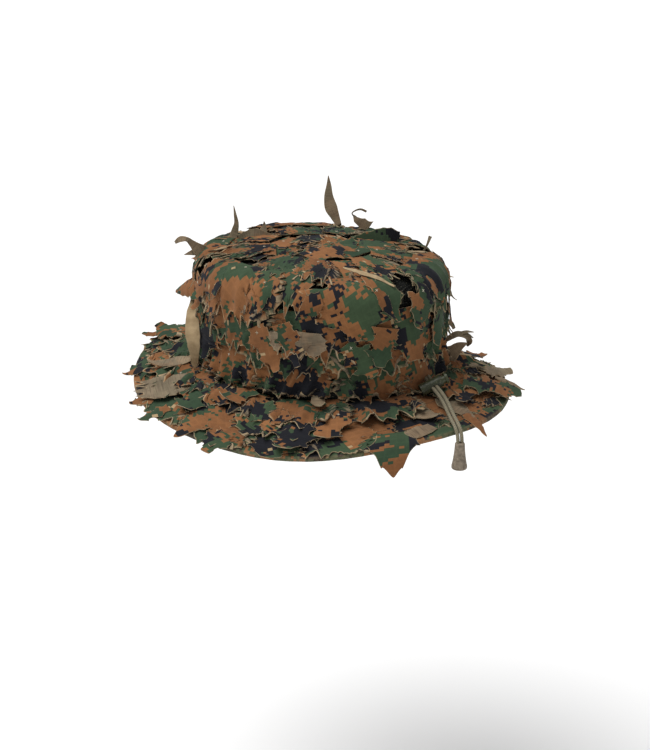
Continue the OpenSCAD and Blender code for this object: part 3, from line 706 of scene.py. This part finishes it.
# zone, a, b, heading, length, width, height, lies, bend, kind, gather
extra = []
for i in range(11):
    th = 12 + i * 360 / 11 + 5 * scatter(i, 6)
    gather = 1.0 if under_tail(th) else 8.0
    extra.append(("crown", th, 31, 180 + 9 * scatter(i, 7), 46 + 4 * scatter(i, 8), 68,
                  1.0 + 0.5 * (i % 2), 0.5, 6, "panel", gather))
for i in range(15):
    th = 12 + i * 24 + 4 * scatter(i, 9)
    if under_tail(th):
        extra.append(("brim", th, 34, 8 * scatter(i, 11), 27, 40, 1.75, 1, 0, "panel", 0))
    else:
        extra.append(("brim", th, 35 + 2 * scatter(i, 10), 8 * scatter(i, 11), 34 + 4 * scatter(i, 12),
                      54 + 6 * scatter(i, 13), 2.35 + 0.3 * (i % 2), 0.72, -8 + 14 * scatter(i, 14),
                      "lobed" if i % 3 == 1 else "panel", 0.8))
for i in range(11):
    th = 190 + i * 32
    if not under_tail(th):
        extra.append(("brim", th, 4, 10 * scatter(i, 15), 40 + 4 * scatter(i, 16), 62,
                      4.6 + 0.5 * (i % 2), 0.6, 10, "panel", 4.5))
for i in range(9):
    th = 5 + i * 40 + 5 * scatter(i, 29)
    extra.append(("crown", th, 136, 180 + 8 * scatter(i, 30), 48, 62, 4.4 + 0.5 * (i % 2), 0.7, 10,
                  "panel", 1.0))
for i in range(8):
    extra.append(("tip", 34 * math.sin(i * 2.4), -42 * math.cos(i * 2.4), 47 * i, 54, 54,
                  2.2 + 0.33 * i, 0.6, 10, "lobed" if i % 3 == 0 else "panel", 0.8))
for i in range(18):
    th = 10 + i * 20 + 6 * scatter(i, 17)
    m = 86 if under_tail(th) else 44 + 50 * chance(i, 18)
    extra.append(("crown", th, m, 180 + 50 * scatter(i, 19), 32 + 8 * scatter(i, 20), 34 + 8 * scatter(i, 21),
                  8.2 + 0.5 * (i % 3), 0.45, 24 + 10 * scatter(i, 22), "lobed", 0))
for i in range(15):
    th = 196 + i * 320 / 15 + 5 * scatter(i, 23)
    extra.append(("brim", th, 20 + 16 * chance(i, 24), 75 * scatter(i, 25), 33 + 6 * scatter(i, 26),
                  34 + 6 * scatter(i, 27), 6.4 + 0.5 * (i % 3), 0.5, 18 + 12 * scatter(i, 28), "lobed", 0))
for i in range(14):
    th = 20 + i * 26 + 8 * scatter(i, 31)
    extra.append(("crown", th, WALL_H + 2 + 14 * chance(i, 32), 180 + 70 * scatter(i, 33),
                  21 + 5 * scatter(i, 34), 13 + 4 * scatter(i, 35), 8.0, 0.2, 48 + 20 * scatter(i, 36),
                  "point", 0))
for i, (zone, a, b, head, length, width, h, lies, bend, kind, gather) in enumerate(extra):
    seed += 1
    pressed = lies == 1
    wrinkle, puff, flare = (0.15, 0.1, 0.0) if pressed else (0.75, 0.7, 2.2)
    curl = 0.5 if width < 45 and not pressed else 0.1
    cloth = leaf_cloth(seed, zone, a, b, head, length, width, h, lies, bend, kind, 8, 0.24,
                       wrinkle, curl, puff, gather, flare, tack=i % 2 == 0)
    turned = i % 7 == 3 and zone != "tip" and 200 < a < 320
    add_leaf(f"leaf_extra_{i + 1}", [cloth], REVERSE_UP if turned else CAMO_UP, (width, length))

# Leaves that give the outline, as single blades and curls. Their points follow the CAD leaves' own.
CAM = (0.76, 0.55, 0.36)
SKY = (0.3, 0.2, 0.93)
LOOP_UP = (0.3, 0.3, 0.9)
ribbon_leaf("leaf_spike_tall_cloth", REVERSE_UP, (11, 42), [
    (1, [[-68, -29, 99], [-69, -34, 106], [-70, -39, 113], [-72, -43, 122], [-75, -45, 131], [-77, -47, 139]],
     [5, 8, 11, 8, 4.4, 0.6], CAM, 34)], "leaf_spike_tall")
ribbon_leaf("leaf_spike_front_cloth", REVERSE_UP, (8, 28), [
    (2, [[15, -82, 97], [11, -82, 104], [9, -82, 110], [8, -84, 117], [6, -87, 124]],
     [7, 6, 4, 2.4, 0.5], CAM)],
    "leaf_spike_front")
ribbon_leaf("leaf_curl_front_cloth", REVERSE_UP, (14, 36), [
    (3, [[40, -88, 90], [45.5, -93, 93], [49, -98, 98.5], [51, -102, 102], [52.5, -108, 101.5],
         [53, -114, 97.5]],
     [9.5, 10.5, 6, 4, 5, 2.6], CAM, 34),
    (4, [[43, -92, 91], [49.5, -97, 91], [54, -103, 89]], [8, 5, 0.6], CAM)], "leaf_curl_front")
ribbon_leaf("leaf_curl_far_cloth", REVERSE_UP, (16, 32), [
    (5, [[-77, -3, 99], [-75, -7.5, 102], [-73, -13, 105], [-74.5, -18, 108.5]], [14, 11, 7, 1.4],
     CAM, 30, 3, 0.35),
    (6, [[-74.5, -17, 107], [-73, -18.5, 110.5], [-74, -15, 113.5], [-76, -11, 114.5], [-78.5, -7, 112.5]],
     [1.4, 1.1, 1.4, 1.8, 2], CAM)], "leaf_curl_far")
ribbon_leaf("leaf_flap_front_cloth", CAMO_UP, (24, 58), [
    (7, [[62, -62, 69], [64, -74, 71], [63, -89, 68], [60, -102, 62], [56, -112, 56]], [14, 22, 23, 15, 4],
     [(0.7, 0.3, 0.6), (0.7, 0.2, 0.65), (0.7, 0.1, 0.7), (0.7, 0, 0.7), (0.7, -0.1, 0.7)],
     44, 7, 0.22, -0.35)],
    "leaf_flap_front")
hanging = np.array([(38, 6, 55), (44, 9, 48), (50, 12, 38), (54, 13.5, 27), (55, 13.5, 17), (54, 13, 7),
                    (53, 12.5, 1)])
ribbon_leaf("leaf_strip_front_cloth", TAN_UP, (12, 56), [
    (8, oval(*hanging.T), [7, 10, 13, 12, 9, 6, 0.8], CAM, 44, 5, 0.16)], "leaf_strip_front")
ribbon_leaf("leaf_loop_rear_cloth", REVERSE_UP, (22, 60), [
    (9, [[-62.5, 86.5, 18], [-67, 90.5, 21.5], [-71.5, 94, 23], [-76.5, 99, 20.5], [-78.5, 101, 16],
         [-77.5, 99.5, 11]], [4, 6, 7, 7, 6, 1.5], LOOP_UP, 36),
    (10, [[-72, 94.5, 23], [-77, 99, 24.5], [-82, 103, 23.5]], [4, 3, 0.6], LOOP_UP),
    (11, [[-72.5, 96, 22], [-77.5, 100, 22], [-82, 103, 18]], [3, 2.6, 0.6], (0.5, 0.5, 0.7))],
    "leaf_loop_rear")
ribbon_leaf("leaf_base_rear", REVERSE_UP, (14, 26), [
    (12, [[-56, 92, 3], [-61.5, 95, 9], [-67, 98, 13.5], [-73, 102.5, 16]], [12, 12, 8, 1], CAM)])
over_edge = leaf_cloth(17, "brim", 145.5, 52, -10, 40, 27, 6.0, 0.26, -78, "point", 4, 0.3,
                       wrinkle=0.25, puff=0.3, tack=False)
add_leaf("leaf_edge_cloth", [over_edge], CAMO_UP, (27, 39), "leaf_edge", "leaf_edge")

# Single leaves at the places where the outline and the reverse sides show
# name, side, zone, a, b, heading, length, width, height, lies, bend, kind, teeth, depth
SINGLES = [
    ("leaf_reverse_front", REVERSE_UP, "brim", 60, 24, -22, 52, 27, 7.6, 0.8, 6, "panel", 6, 0.16),
    ("leaf_reverse_front_upper", REVERSE_UP, "brim", 44, 12, -16, 40, 16, 9.4, 0.4, 18, "blade", 3, 0.12),
    ("leaf_reverse_rear", REVERSE_UP, "brim", 160, 51, -76, 31, 15, 3.2, 0.9, 4, "lobe", 4, 0.2),
    ("leaf_reverse_tail", REVERSE_UP, "brim", 177, 20, -3, 38, 22, 2.8, 0.8, -6, "blade", 2, 0.1),
    ("leaf_green_rear", CAMO_UP, "brim", 194, 26, 16, 50, 42, 9.5, 0.5, -10, "lobed", 9, 0.3),
    ("leaf_tan_tip", REVERSE_UP, "brim", 209, 50, -6, 27, 7, 8.2, 0.3, -26, "blade", 2, 0.05),
    ("leaf_green_tail", CAMO_UP, "brim", 176, 46, -10, 33, 9, 3.0, 0.4, -30, "blade", 3, 0.15),
    ("leaf_star_side", CAMO_UP, "brim", 93, 48, -8, 28, 25, 4.0, 0.5, -14, "lobed", 6, 0.34),
    ("leaf_dark_point", CAMO_UP, "brim", 81, 44, -6, 31, 19, 5.0, 0.5, -12, "blade", 5, 0.2),
    ("leaf_cluster_front", CAMO_UP, "brim", 8, 28, 10, 44, 24, 7.6, 0.5, 8, "lobed", 8, 0.4),
    ("leaf_knob_front", CAMO_UP, "brim", 36, 54, 0, 19, 9, 4.6, 0.4, 8, "blade", 2, 0.2),
    ("leaf_fringe_front_1", CAMO_UP, "brim", 57, 50, -12, 25, 16, 4.6, 0.4, 6, "lobed", 5, 0.36),
    ("leaf_fringe_front_2", CAMO_UP, "brim", 66, 52, -8, 27, 14, 4.2, 0.4, 4, "lobed", 5, 0.36),
    ("leaf_under_fold", REVERSE_UP, "brim", 159, 16, 12, 36, 22, 3.0, 0.3, 34, "blade", 2, 0.1),
    ("leaf_fold_side_1", CAMO_UP, "brim", 92, 6, -30, 30, 24, 8.6, 0.3, 44, "lobed", 4, 0.2),
    ("leaf_fold_side_2", REVERSE_UP, "brim", 120, 4, 24, 22, 12, 8.6, 0.3, 58, "blade", 3, 0.2),
    ("leaf_reverse_wall", REVERSE_UP, "crown", 113, 61, 182, 24, 46, 9.0, 0.6, 6, "panel", 5, 0.14),
    ("leaf_side_cover", CAMO_UP, "crown", 104, 114, 182, 46, 54, 5.4, 0.6, 14, "panel", 6, 0.16),
    ("leaf_shoulder_flap_1", CAMO_UP, "crown", 64, 92, 214, 34, 24, 8.4, 0.4, 34, "lobed", 6, 0.2),
    ("leaf_shoulder_flap_2", CAMO_UP, "crown", 150, 112, 166, 46, 34, 8.0, 0.6, 22, "lobed", 8, 0.2)]
for i, (name, side, zone, a, b, head, length, width, h, lies, bend, kind, teeth, depth) in enumerate(SINGLES):
    cloth = leaf_cloth(700 + i, zone, a, b, head, length, width, h, lies, bend, kind, teeth, depth,
                       wrinkle=0.35, curl=0.3, puff=0.5, tack=False)
    add_leaf(name, [cloth], side, (width, length))

ribbon_leaf("leaf_tip_flap", REVERSE_UP, (16, 34), [
    (40, [[12.5, -76.5, 98], [8, -70.5, 102], [3, -63.5, 102.5], [-5, -54.5, 100]], [7, 8, 9, 3],
     CAM, 30, 5, 0.3),
    (41, [[-4, -64, 101], [-8, -65, 105.5], [-9, -66, 110]], [8, 4, 0.6], CAM)])
# both faces of this fold take the darker camo copy, which is painted shade
ribbon_leaf("leaf_dark_fold", [camo_shaded, camo_shaded, cut_edge], (18, 44), [
    (42, [[-33, 6.5, 98], [-37, 15, 101], [-42.5, 25.5, 103], [-50, 35, 104], [-58, 41, 101.5]],
     [4, 10, 15, 17, 12], CAM, 30, 6, 0.2)])
fold_line = np.array([(137, 112), (142, 108), (147, 102), (152, 95), (158, 88)]).T
ribbon_leaf("leaf_tan_fold", TAN_UP, (10.5, 46), [
    (46, crown_pt(*fold_line, 10), [1.5, 4, 5, 4, 2], SKY, 30, 4, 0.3)])
ribbon_leaf("leaf_stems_rear", REVERSE_UP, (10.5, 24), [
    (43, [[-63, 62, 92], [-66, 64, 98], [-71, 64, 104.5]], [1.4, 1.8, 3.2], CAM),
    (44, [[-42, 92, 74], [-45, 91, 84], [-49, 88, 96]], [5, 2.4, 1.7], CAM)])
ribbon_leaf("leaf_rear_strip", REVERSE_UP, (10.5, 28), [
    (45, [[-56, 76, 45], [-61, 84, 39], [-66, 90, 33], [-68, 92, 28]], [5, 5, 4.4, 3], CAM, 30, 3, 0.2)])

# ---- thread: stitches and tacks ----


def stitch_grid(centre, along, normal, length, width, height):
    """A stitch as a short raised bead with its ends sunk in the cloth."""
    side = np.cross(normal, along)
    t = np.linspace(-1, 1, 5)
    points, faces = [], []
    for x in t:
        swell = 1 - 0.55 * x ** 2
        for a in np.linspace(0, 2 * np.pi, 6, endpoint=False):
            points.append(centre + along * x * length / 2 + side * math.cos(a) * width / 2 * swell
                          + normal * (math.sin(a) * height * swell - height * 0.3 * abs(x) ** 3))
    for i in range(4):
        for k in range(6):
            faces.append([i * 6 + k, i * 6 + (k + 1) % 6, (i + 1) * 6 + (k + 1) % 6, (i + 1) * 6 + k])
    return points, faces, [list(range(5, -1, -1)), list(range(24, 30))]


def stitches(name, places, length, width, height, material, slot):
    points, faces = [], []
    for centre, along, normal in places:
        p, f, caps = stitch_grid(centre, along, normal, length, width, height)
        start = len(points)
        points.extend(p)
        faces.extend([[q + start for q in face] for face in f + caps])
    piece(make_object(name, points, faces, [material]), "hat", slot)


def ring_places(surface, m, h, pitch):
    """Places along a ring of a surface, a pitch apart."""
    th = np.linspace(0, 360, 721)
    dist = run_length(surface(th, m, h))
    at = np.interp(np.arange(0, dist[-1] - pitch / 2, pitch), dist, th)
    centre = surface(at, m, h)
    along = unit(surface(at + 0.3, m, h) - surface(at - 0.3, m, h))
    return list(zip(centre, along, unit(surface(at, m, h + 1) - centre)))


def brim_places(m, h, pitch):
    """Places along a ring of the brim, on its upper and its lower face."""
    below = ring_places(brim_pt, m, -h, pitch)
    return ring_places(brim_pt, m, h, pitch) + [(centre, along, -normal) for centre, along, normal in below]


tacks = []
for centre, normal, angle in tack_frames:
    first = unit(np.cross(normal, (0.3, 0.5, 0.81)))
    second = np.cross(normal, first)
    for turn in (angle, angle + 1.4):
        along = first * math.cos(turn) + second * math.sin(turn)
        tacks.append((centre + 0.1 * normal, along, normal))
stitches("leaf_tacks", tacks, 3.0, 0.6, 0.32, white_thread, "leaf_cloth")

# ---- brim ----

STITCH_ROWS = (10.0, 20.0, 30.0, 40.0, 50.0)


def pucker(th, m, phase):
    """Cloth pulled down along the stitch rows and gathered a little along them."""
    dip = sum(np.exp(-((m - row) / 1.5) ** 2) for row in STITCH_ROWS)
    gather = np.sin(np.radians(th) * 61 + m * 0.5 + phase) * 0.5 + np.sin(np.radians(th) * 37 - m * 0.3) * 0.5
    return -0.28 * dip + 0.09 * gather * (1 - dip)


def ring_cloth(surface, th, m, h, thick, hint=None):
    """Cloth over rings: th and m are lists, h a function of both."""
    th_grid, m_grid = np.meshgrid(th, m, indexing="ij")
    grid = surface(th_grid, m_grid, h(th_grid, m_grid))
    if hint is None:
        hint = surface(th_grid, m_grid, h(th_grid, m_grid) + 1) - grid
    uv = np.stack([th_grid * OVAL_MEAN * math.pi / 180 * 1.25, m_grid], -1)
    wear_and_painted_light = np.zeros(th_grid.shape)
    wear_and_painted_light[:, -1] = 0.5
    return Cloth(grid, hint, thick, uv, wear_and_painted_light)


def hat_cloth(name, cloth, materials, slot, node):
    return piece(build(name, [cloth], materials), "hat", slot, node)


around = np.linspace(-179.95, 179.95, 361)
brim_m = np.linspace(0, BRIM_W, 45)
upper = ring_cloth(brim_pt, around, brim_m, lambda th, m: BRIM_FACE + pucker(th, m, 0.0), 0.72)
lower = ring_cloth(brim_pt, around, brim_m, lambda th, m: -BRIM_FACE - pucker(th, m, 2.0), 0.72, (0, 0, -1))
core = ring_cloth(brim_pt, around, np.linspace(1, BRIM_W, 12), lambda th, m: 0.38 + 0 * th, 0.76)
# on the plies the faces that look down take the darker camo copy, which is painted shade
PLIES = [
    ("brim_upper_ply", upper, [camo, camo_shaded, cut_edge], "camo_cloth", "brim_upper", "brim_interlining"),
    ("brim_lower_ply", lower, [camo_shaded, camo, cut_edge], "brim_lining", "brim_lower", "brim_interlining"),
    ("brim_felt", core, [felt] * 3, "interlining", "brim_interlining", "brim_lower_ply")]
for name, cloth, materials, slot, node, rests_on in PLIES:
    declare_sheet(hat_cloth(name, cloth, materials, slot, node), (304, 334))
for row in STITCH_ROWS:
    places = brim_places(row, BRIM_FACE - 0.16, 3.1)
    stitches(f"brim_stitches_{int(row)}", places, 2.3, 0.55, 0.3, brown_thread, "camo_cloth")

# Folded binding: from its upper edge round the brim's rim to its lower edge
BIND_H = BRIM_FACE + 0.2 + 0.7
bind_profile = [(BRIM_W - 9 + x, BIND_H - 0.25 + 0.25 * min(x / 2, 1)) for x in (0, 2, 4, 6, 8)]
rim_angles = np.radians(range(10, 171, 20))
bind_profile += [(BRIM_W - 0.6 + 1.5 * math.sin(a), BIND_H * math.cos(a)) for a in rim_angles]
bind_profile += [(m, -h) for m, h in reversed(bind_profile[:5])]
bind_m, bind_h = np.array(bind_profile).T
th_grid = np.broadcast_to(around[:, None], (len(around), len(bind_m)))
bump = 0.12 * np.sin(np.radians(th_grid) * 53) * np.sin(np.radians(th_grid) * 17 + 1)
grid = brim_pt(th_grid, bind_m + bump, bind_h * (1 + 0.04 * bump))
centre = brim_pt(th_grid, BRIM_W - 4, 0)
uv = np.stack([th_grid * 2.9 + 900, run_length(np.array(bind_profile)) + 0 * th_grid], -1)
wear_and_painted_light = np.exp(-((bind_m - BRIM_W - 0.6) / 0.8) ** 2)[None] * 0.25 + 0 * th_grid
binding = Cloth(grid, grid - centre, 0.62, uv, wear_and_painted_light)
hat_cloth("brim_edge_binding", binding, [camo, camo, cut_edge], "camo_cloth", "brim_binding")
bind_rows = brim_places(BRIM_W - 7.4, BIND_H - 0.05, 2.9)
stitches("binding_stitches", bind_rows, 2.1, 0.5, 0.28, brown_thread, "camo_cloth")

# ---- crown ----


def shell_wave(th, m):
    return 0.22 * np.sin(np.radians(th) * 23 + m * 0.11) * np.sin(m * 0.13 + 1.3) - 0.1


MESH = [black_mesh, black_mesh, dark_tape]
for hand, start in (("front", -90), ("rear", 90)):
    th = np.linspace(start + 0.05, start + 179.95, 181)
    shell = ring_cloth(crown_pt, th, np.linspace(0, WALL_H - SEAM, 30), shell_wave, 1.0)
    # the eyelet's hole: the rear panel has no faces inside the eyelet's flange
    middle = shell.points[shell.faces].mean(1)
    kept = (np.hypot(middle[:, 0], middle[:, 2] - EYELET_Z) >= 5.2) | (middle[:, 1] <= 0)
    shell.faces, shell.which, shell.flat = shell.faces[kept], shell.which[kept], shell.flat[kept]
    hat_cloth(f"crown_mesh_{hand}", shell, MESH, "crown_mesh", f"crown_panel_{hand}")
top_m = np.concatenate([np.linspace(WALL_H, WALL_H + SHOULDER_LEN, 14),
                        WALL_H + SHOULDER_LEN + TIP_X * np.linspace(0.04, 0.995, 30)])
top_shell = ring_cloth(crown_pt, around, top_m, lambda th, m: -0.15 + 0 * th, 1.0)
top_shell.uv = top_shell.points[:, :2]
hat_cloth("crown_mesh_top", top_shell, MESH, "crown_mesh", "crown_tip")


def tape_wave(th, m):
    return -CROWN_T - SEAM - PLY_T + 0.08 * np.sin(np.radians(th) * 47)


def band_loops(th, m):
    """Loops of the foliage band: it stands out between the places where it is tacked."""
    loop = np.maximum(0, np.sin(np.radians(th) * 12))
    return SEAM + 0.75 + 0.25 * loop * np.sin((m - BAND_LOW) / (BAND_HIGH - BAND_LOW) * math.pi)


inward = -oval(around[:, None], 0, np.zeros((1, 7)))
tape = ring_cloth(crown_pt, around, np.linspace(WALL_H - 11, WALL_H - 1, 7), tape_wave, 0.7, inward)
hat_cloth("seam_tape", tape, [dark_tape] * 3, "dark_tape", "crown_seam_tape")
band = ring_cloth(crown_pt, around, np.linspace(BAND_LOW, BAND_HIGH, 14), band_loops, 0.7)
# the band's inner face, against the crown, takes the darker camo copy, which is painted shade
hat_cloth("band_of_loops", band, [camo, camo_shaded, cut_edge], "camo_cloth", "foliage_band")
band_rows = [place for m in (BAND_LOW + 2, BAND_HIGH - 2)
             for place in ring_places(crown_pt, m, SEAM + 0.85, 3.0)]
stitches("band_stitches", band_rows, 2.2, 0.5, 0.28, brown_thread, "camo_cloth")

# Sweatband, folded over the tunnel of the drawcord
fold = [(-0.4, 0.2), (-2.0, 0.0), (-4.2, 0.2), (-5.1, 1.2)] + [(-5.4, z) for z in (4, 9, 15, 21, 27)]
fold += [(-5.2, 30.4), (-4.4, 31.7), (-3.0, 32.0), (-1.7, 31.8)]
fold_q, fold_z = np.array(fold).T
th_grid = np.broadcast_to(around[:, None], (len(around), len(fold)))
press = 0.22 * np.sin(np.radians(th_grid) * 71 + 0.15 * fold_z) * np.exp(-((fold_z - 2) / 5) ** 2)
grid = oval(th_grid, fold_q + press, fold_z)
hint = (grid - oval(th_grid, -2, 16)) * (1, 1, 0.35)
uv = np.stack([th_grid * 1.6, run_length(np.array(fold)) + 0 * th_grid], -1)
sweat = Cloth(grid, hint, 1.05, uv, 0 * th_grid)
hat_cloth("sweatband_fold", sweat, [dark_tape] * 3, "dark_tape", "sweatband")


def inner_wall(th, m, h):
    return oval(th, -5.45 - h, m)


sweat_rows = [place for m in (3.0, 28.5) for place in ring_places(inner_wall, m, 0.05, 3.2)]
stitches("sweatband_stitches", sweat_rows, 2.3, 0.5, 0.26, brown_thread, "dark_tape")
half = LABEL_W / OVAL_MEAN * 90 / math.pi
label = ring_cloth(crown_pt, np.linspace(180 - half, 180 + half, 22), np.linspace(LABEL_LOW, LABEL_HIGH, 14),
                   lambda th, m: -CROWN_T - 0.7 + 0.12 * np.sin(th * 0.9) * np.sin(m * 0.4), 0.35, (0, -1, 0))
hat_cloth("care_label_tape", label, [label_cloth] * 3, "label_tape", "care_label")

# ---- cords ----


LAY_LENGTH = 7.0  # along the cord, for one turn of the braid


def braided_tube(name, line, radius, ref, rings_per_mm=1.7, sides=16):
    """Tube that is raised where the braid's strands cross. Gives the object and its smoothed line."""
    line = np.asarray(line, float)
    s = np.linspace(0, len(line) - 1, int(run_length(line)[-1] * rings_per_mm) + 1)
    path = smooth(line, s)
    along = unit(np.gradient(path, axis=0))
    a = unit(np.cross(np.asarray(ref, float), along))
    b = np.cross(along, a)
    dist = run_length(path)
    angle = np.linspace(0, 2 * np.pi, sides, endpoint=False)
    spin = 2 * np.pi * dist[:, None] / LAY_LENGTH
    left, right_ = np.cos(4 * angle[None] + 4 * spin), np.cos(4 * angle[None] - 4 * spin)
    crest = np.clip(0.5 + 0.5 * np.maximum(left, right_), 0, 1)
    r = radius * (0.88 + 0.12 * crest)
    out = np.cos(angle)[:, None] * a[:, None] + np.sin(angle)[:, None] * b[:, None]
    points = path[:, None] + r[..., None] * out
    n = len(path)
    ids = np.arange(n * sides).reshape(n, sides)
    nxt = np.roll(ids, -1, axis=1)
    faces = np.stack([ids[:-1], nxt[:-1], nxt[1:], ids[1:]], -1).reshape(-1, 4).tolist()
    faces += [list(ids[0][::-1]), list(ids[-1])]
    uv = np.stack(np.broadcast_arrays(angle[None] * radius, dist[:, None]), -1)
    # crest goes in as the per-point value that the cord's look paints as highlight on the crowns and shade
    # between them
    ob = make_object(name, points.reshape(-1, 3), faces, [braid], uv=uv.reshape(-1, 2), wear_and_painted_light=crest.ravel())
    return ob, path


CORD_R = 1.5
STRAND_X = 1.65  # from the pair's middle to each strand's
cord_exit = np.array([0, OVAL_Y + 2.6, EYELET_Z])
steps_out = np.array([
    [0, 0, 0], [2.8, 4, -0.8], [5.5, 8, -1.6], [8.1, 12, -2.4], [10.8, 16, -3.2], [13.4, 20, -4],
    [16, 24, -4.9], [18.6, 28, -6.3], [21.2, 32, -8.1], [24, 36, -10.3], [27, 40, -12.5],
    [30, 44, -14.5], [33, 48, -16.3], [36, 52, -17.9], [38.4, 55.4, -20.5], [39.8, 57.6, -23.9],
    [40.2, 58.4, -27.5], [40.2, 58.6, -30.5]])
route = cord_exit + steps_out
slope = np.array([0.548, 0.813, -0.163])
tail_run = unit(slope)
hinge_axis = unit(np.array([slope[1], -slope[0], 0]))
tail_up = np.cross(hinge_axis, tail_run)
LOCK_TILT = math.radians(22)
barrel_dir = -math.cos(LOCK_TILT) * hinge_axis + math.sin(LOCK_TILT) * tail_up


def beside(i):
    """From one strand to the other at the route's point i: level at the exit, then along the lock."""
    across = -hinge_axis if i == 0 else barrel_dir - hinge_axis if i == 1 else barrel_dir
    j = max(i, 1)
    d = unit(route[min(j + 1, len(route) - 1)] - route[j - 1])
    return unit(across - across.dot(d) * d)


def lathe(name, profile, centre, material, ridge, sides=48):
    """Turned piece about a vertical axis; profile is radius and height, ridge lifts the radius round it."""
    angle = np.linspace(0, 2 * np.pi, sides, endpoint=False)
    profile = np.asarray(profile, float)
    r = profile[:, :1] + ridge(profile, angle)
    heights = np.broadcast_to(profile[:, 1:], r.shape)
    points = np.stack([r * np.cos(angle), r * np.sin(angle), heights], -1) + centre
    n = len(profile)
    ids = np.arange(n * sides).reshape(n, sides)
    nxt = np.roll(ids, -1, axis=1)
    faces = np.stack([ids[:-1], ids[1:], nxt[1:], nxt[:-1]], -1).reshape(-1, 4).tolist()
    faces += [list(ids[0]), list(ids[-1][::-1])]
    return make_object(name, points.reshape(-1, 3), faces, [material])


bell_top = route[-1]
bell_profile = [
    (0.05, -0.02), (2.6, -0.02), (3.6, -0.3), (4.0, -1.1), (4.05, -3), (4.35, -7), (4.8, -11), (5.35, -15),
    (5.9, -18.2), (6.25, -19.3), (6.3, -20.2), (6.3, -21.3), (6.05, -21.9), (5.6, -22.0), (5.2, -21.7),
    (5.05, -21.0), (5.0, -19), (4.3, -14), (3.6, -9), (2.9, -4), (2.7, -1.9), (0.05, -1.6)]


def bell_ridge(profile, angle):
    """Two mould lines and the shallow dents of a pressed rubber bell."""
    outer = (profile[:, 0] > 3.9) & (profile[:, 1] > -21.5)
    mould = 0.09 * np.exp(-(np.sin(angle) / 0.09) ** 2)
    dent = -0.12 * (0.5 + 0.5 * np.cos(8 * angle)) * np.clip((profile[:, 1:] + 19) / -8, 0, 1)
    return np.where(outer[:, None], mould[None] + dent, 0.0)


bell = lathe("bell_end", bell_profile, bell_top, bell_rubber, bell_ridge)
piece(bell, "tail", "bell_plastic", "cord_end")
turns = np.linspace(0, 2 * np.pi, 40)
knot_line = 0.62 * np.stack([np.sin(turns) + 1.5 * np.sin(2 * turns), np.cos(turns) - 1.5 * np.cos(2 * turns),
                             -np.sin(3 * turns)], -1)
knot, _ = braided_tube("cord_knot", knot_line[:-1] + bell_top - [0, 0, 4.1], 0.95, (0.1, 0.2, 1), 3.0, 12)
piece(knot, "tail", "cord", "cord_end_knot")
for side, hand, length in ((-1, "left", 0.0815), (1, "right", 0.0826)):
    line = [point + side * STRAND_X * beside(i) for i, point in enumerate(route)]
    strand, path = braided_tube(f"cord_strand_{hand}", line, CORD_R, barrel_dir)
    piece(strand, "tail", "cord", f"tail_strand_{hand}")
q = -TUNNEL_W + SEAM + CORD_R
inside = [[-STRAND_X, OVAL_Y, EYELET_Z], [-STRAND_X, OVAL_Y - 1.4, EYELET_Z],
          [-STRAND_X - 1.2, OVAL_Y - 2.5, EYELET_Z], [-STRAND_X - 4, OVAL_Y + q, EYELET_Z]]
ring = oval(180 + np.arange(7, 354, 6), q, EYELET_Z).tolist()
loop_line = inside + ring + [[-x, y, z] for x, y, z in reversed(inside)]
loop, _ = braided_tube("drawcord_loop", loop_line, CORD_R, (0, 0, 1), 0.8, 10)
piece(loop, "hat", "cord", "drawcord")

# ---- CAD pieces that keep their shape ----


def keep(node, material, bevel=0.0):
    ob = nodes[node]
    ob.data.materials.clear()
    ob.data.materials.append(material)
    if bevel:
        rounding = ob.modifiers.new("edge", "BEVEL")
        rounding.width = bevel * MM
        rounding.segments = 2
        rounding.limit_method = "ANGLE"
        rounding.angle_limit = math.radians(40)


keep("cord_lock_body", lock_plastic, 0.3)
keep("cord_lock_plunger", plunger_plastic, 0.3)
keep("cord_lock_spring", steel)
keep("eyelet", enamel, 0.12)

FLOOR_Z, FLOOR_HALF = -0.42, 60  # in metres
floor_mesh = bpy.data.meshes.new("floor")
corners = [(x * FLOOR_HALF, y * FLOOR_HALF, FLOOR_Z) for x, y in ((-1, -1), (1, -1), (1, 1), (-1, 1))]
floor_mesh.from_pydata(corners, [], [(0, 1, 2, 3)])
floor_look = Look("floor")
floor_noise = floor_look.noise(floor_look.uv, 5.0)
floor_mesh.materials.append(floor_look.finish(srgb("#F4F4F4"), floor_noise, 0.9, bump=0.0))
floor = bpy.data.objects.new("floor", floor_mesh)
scene.collection.objects.link(floor)
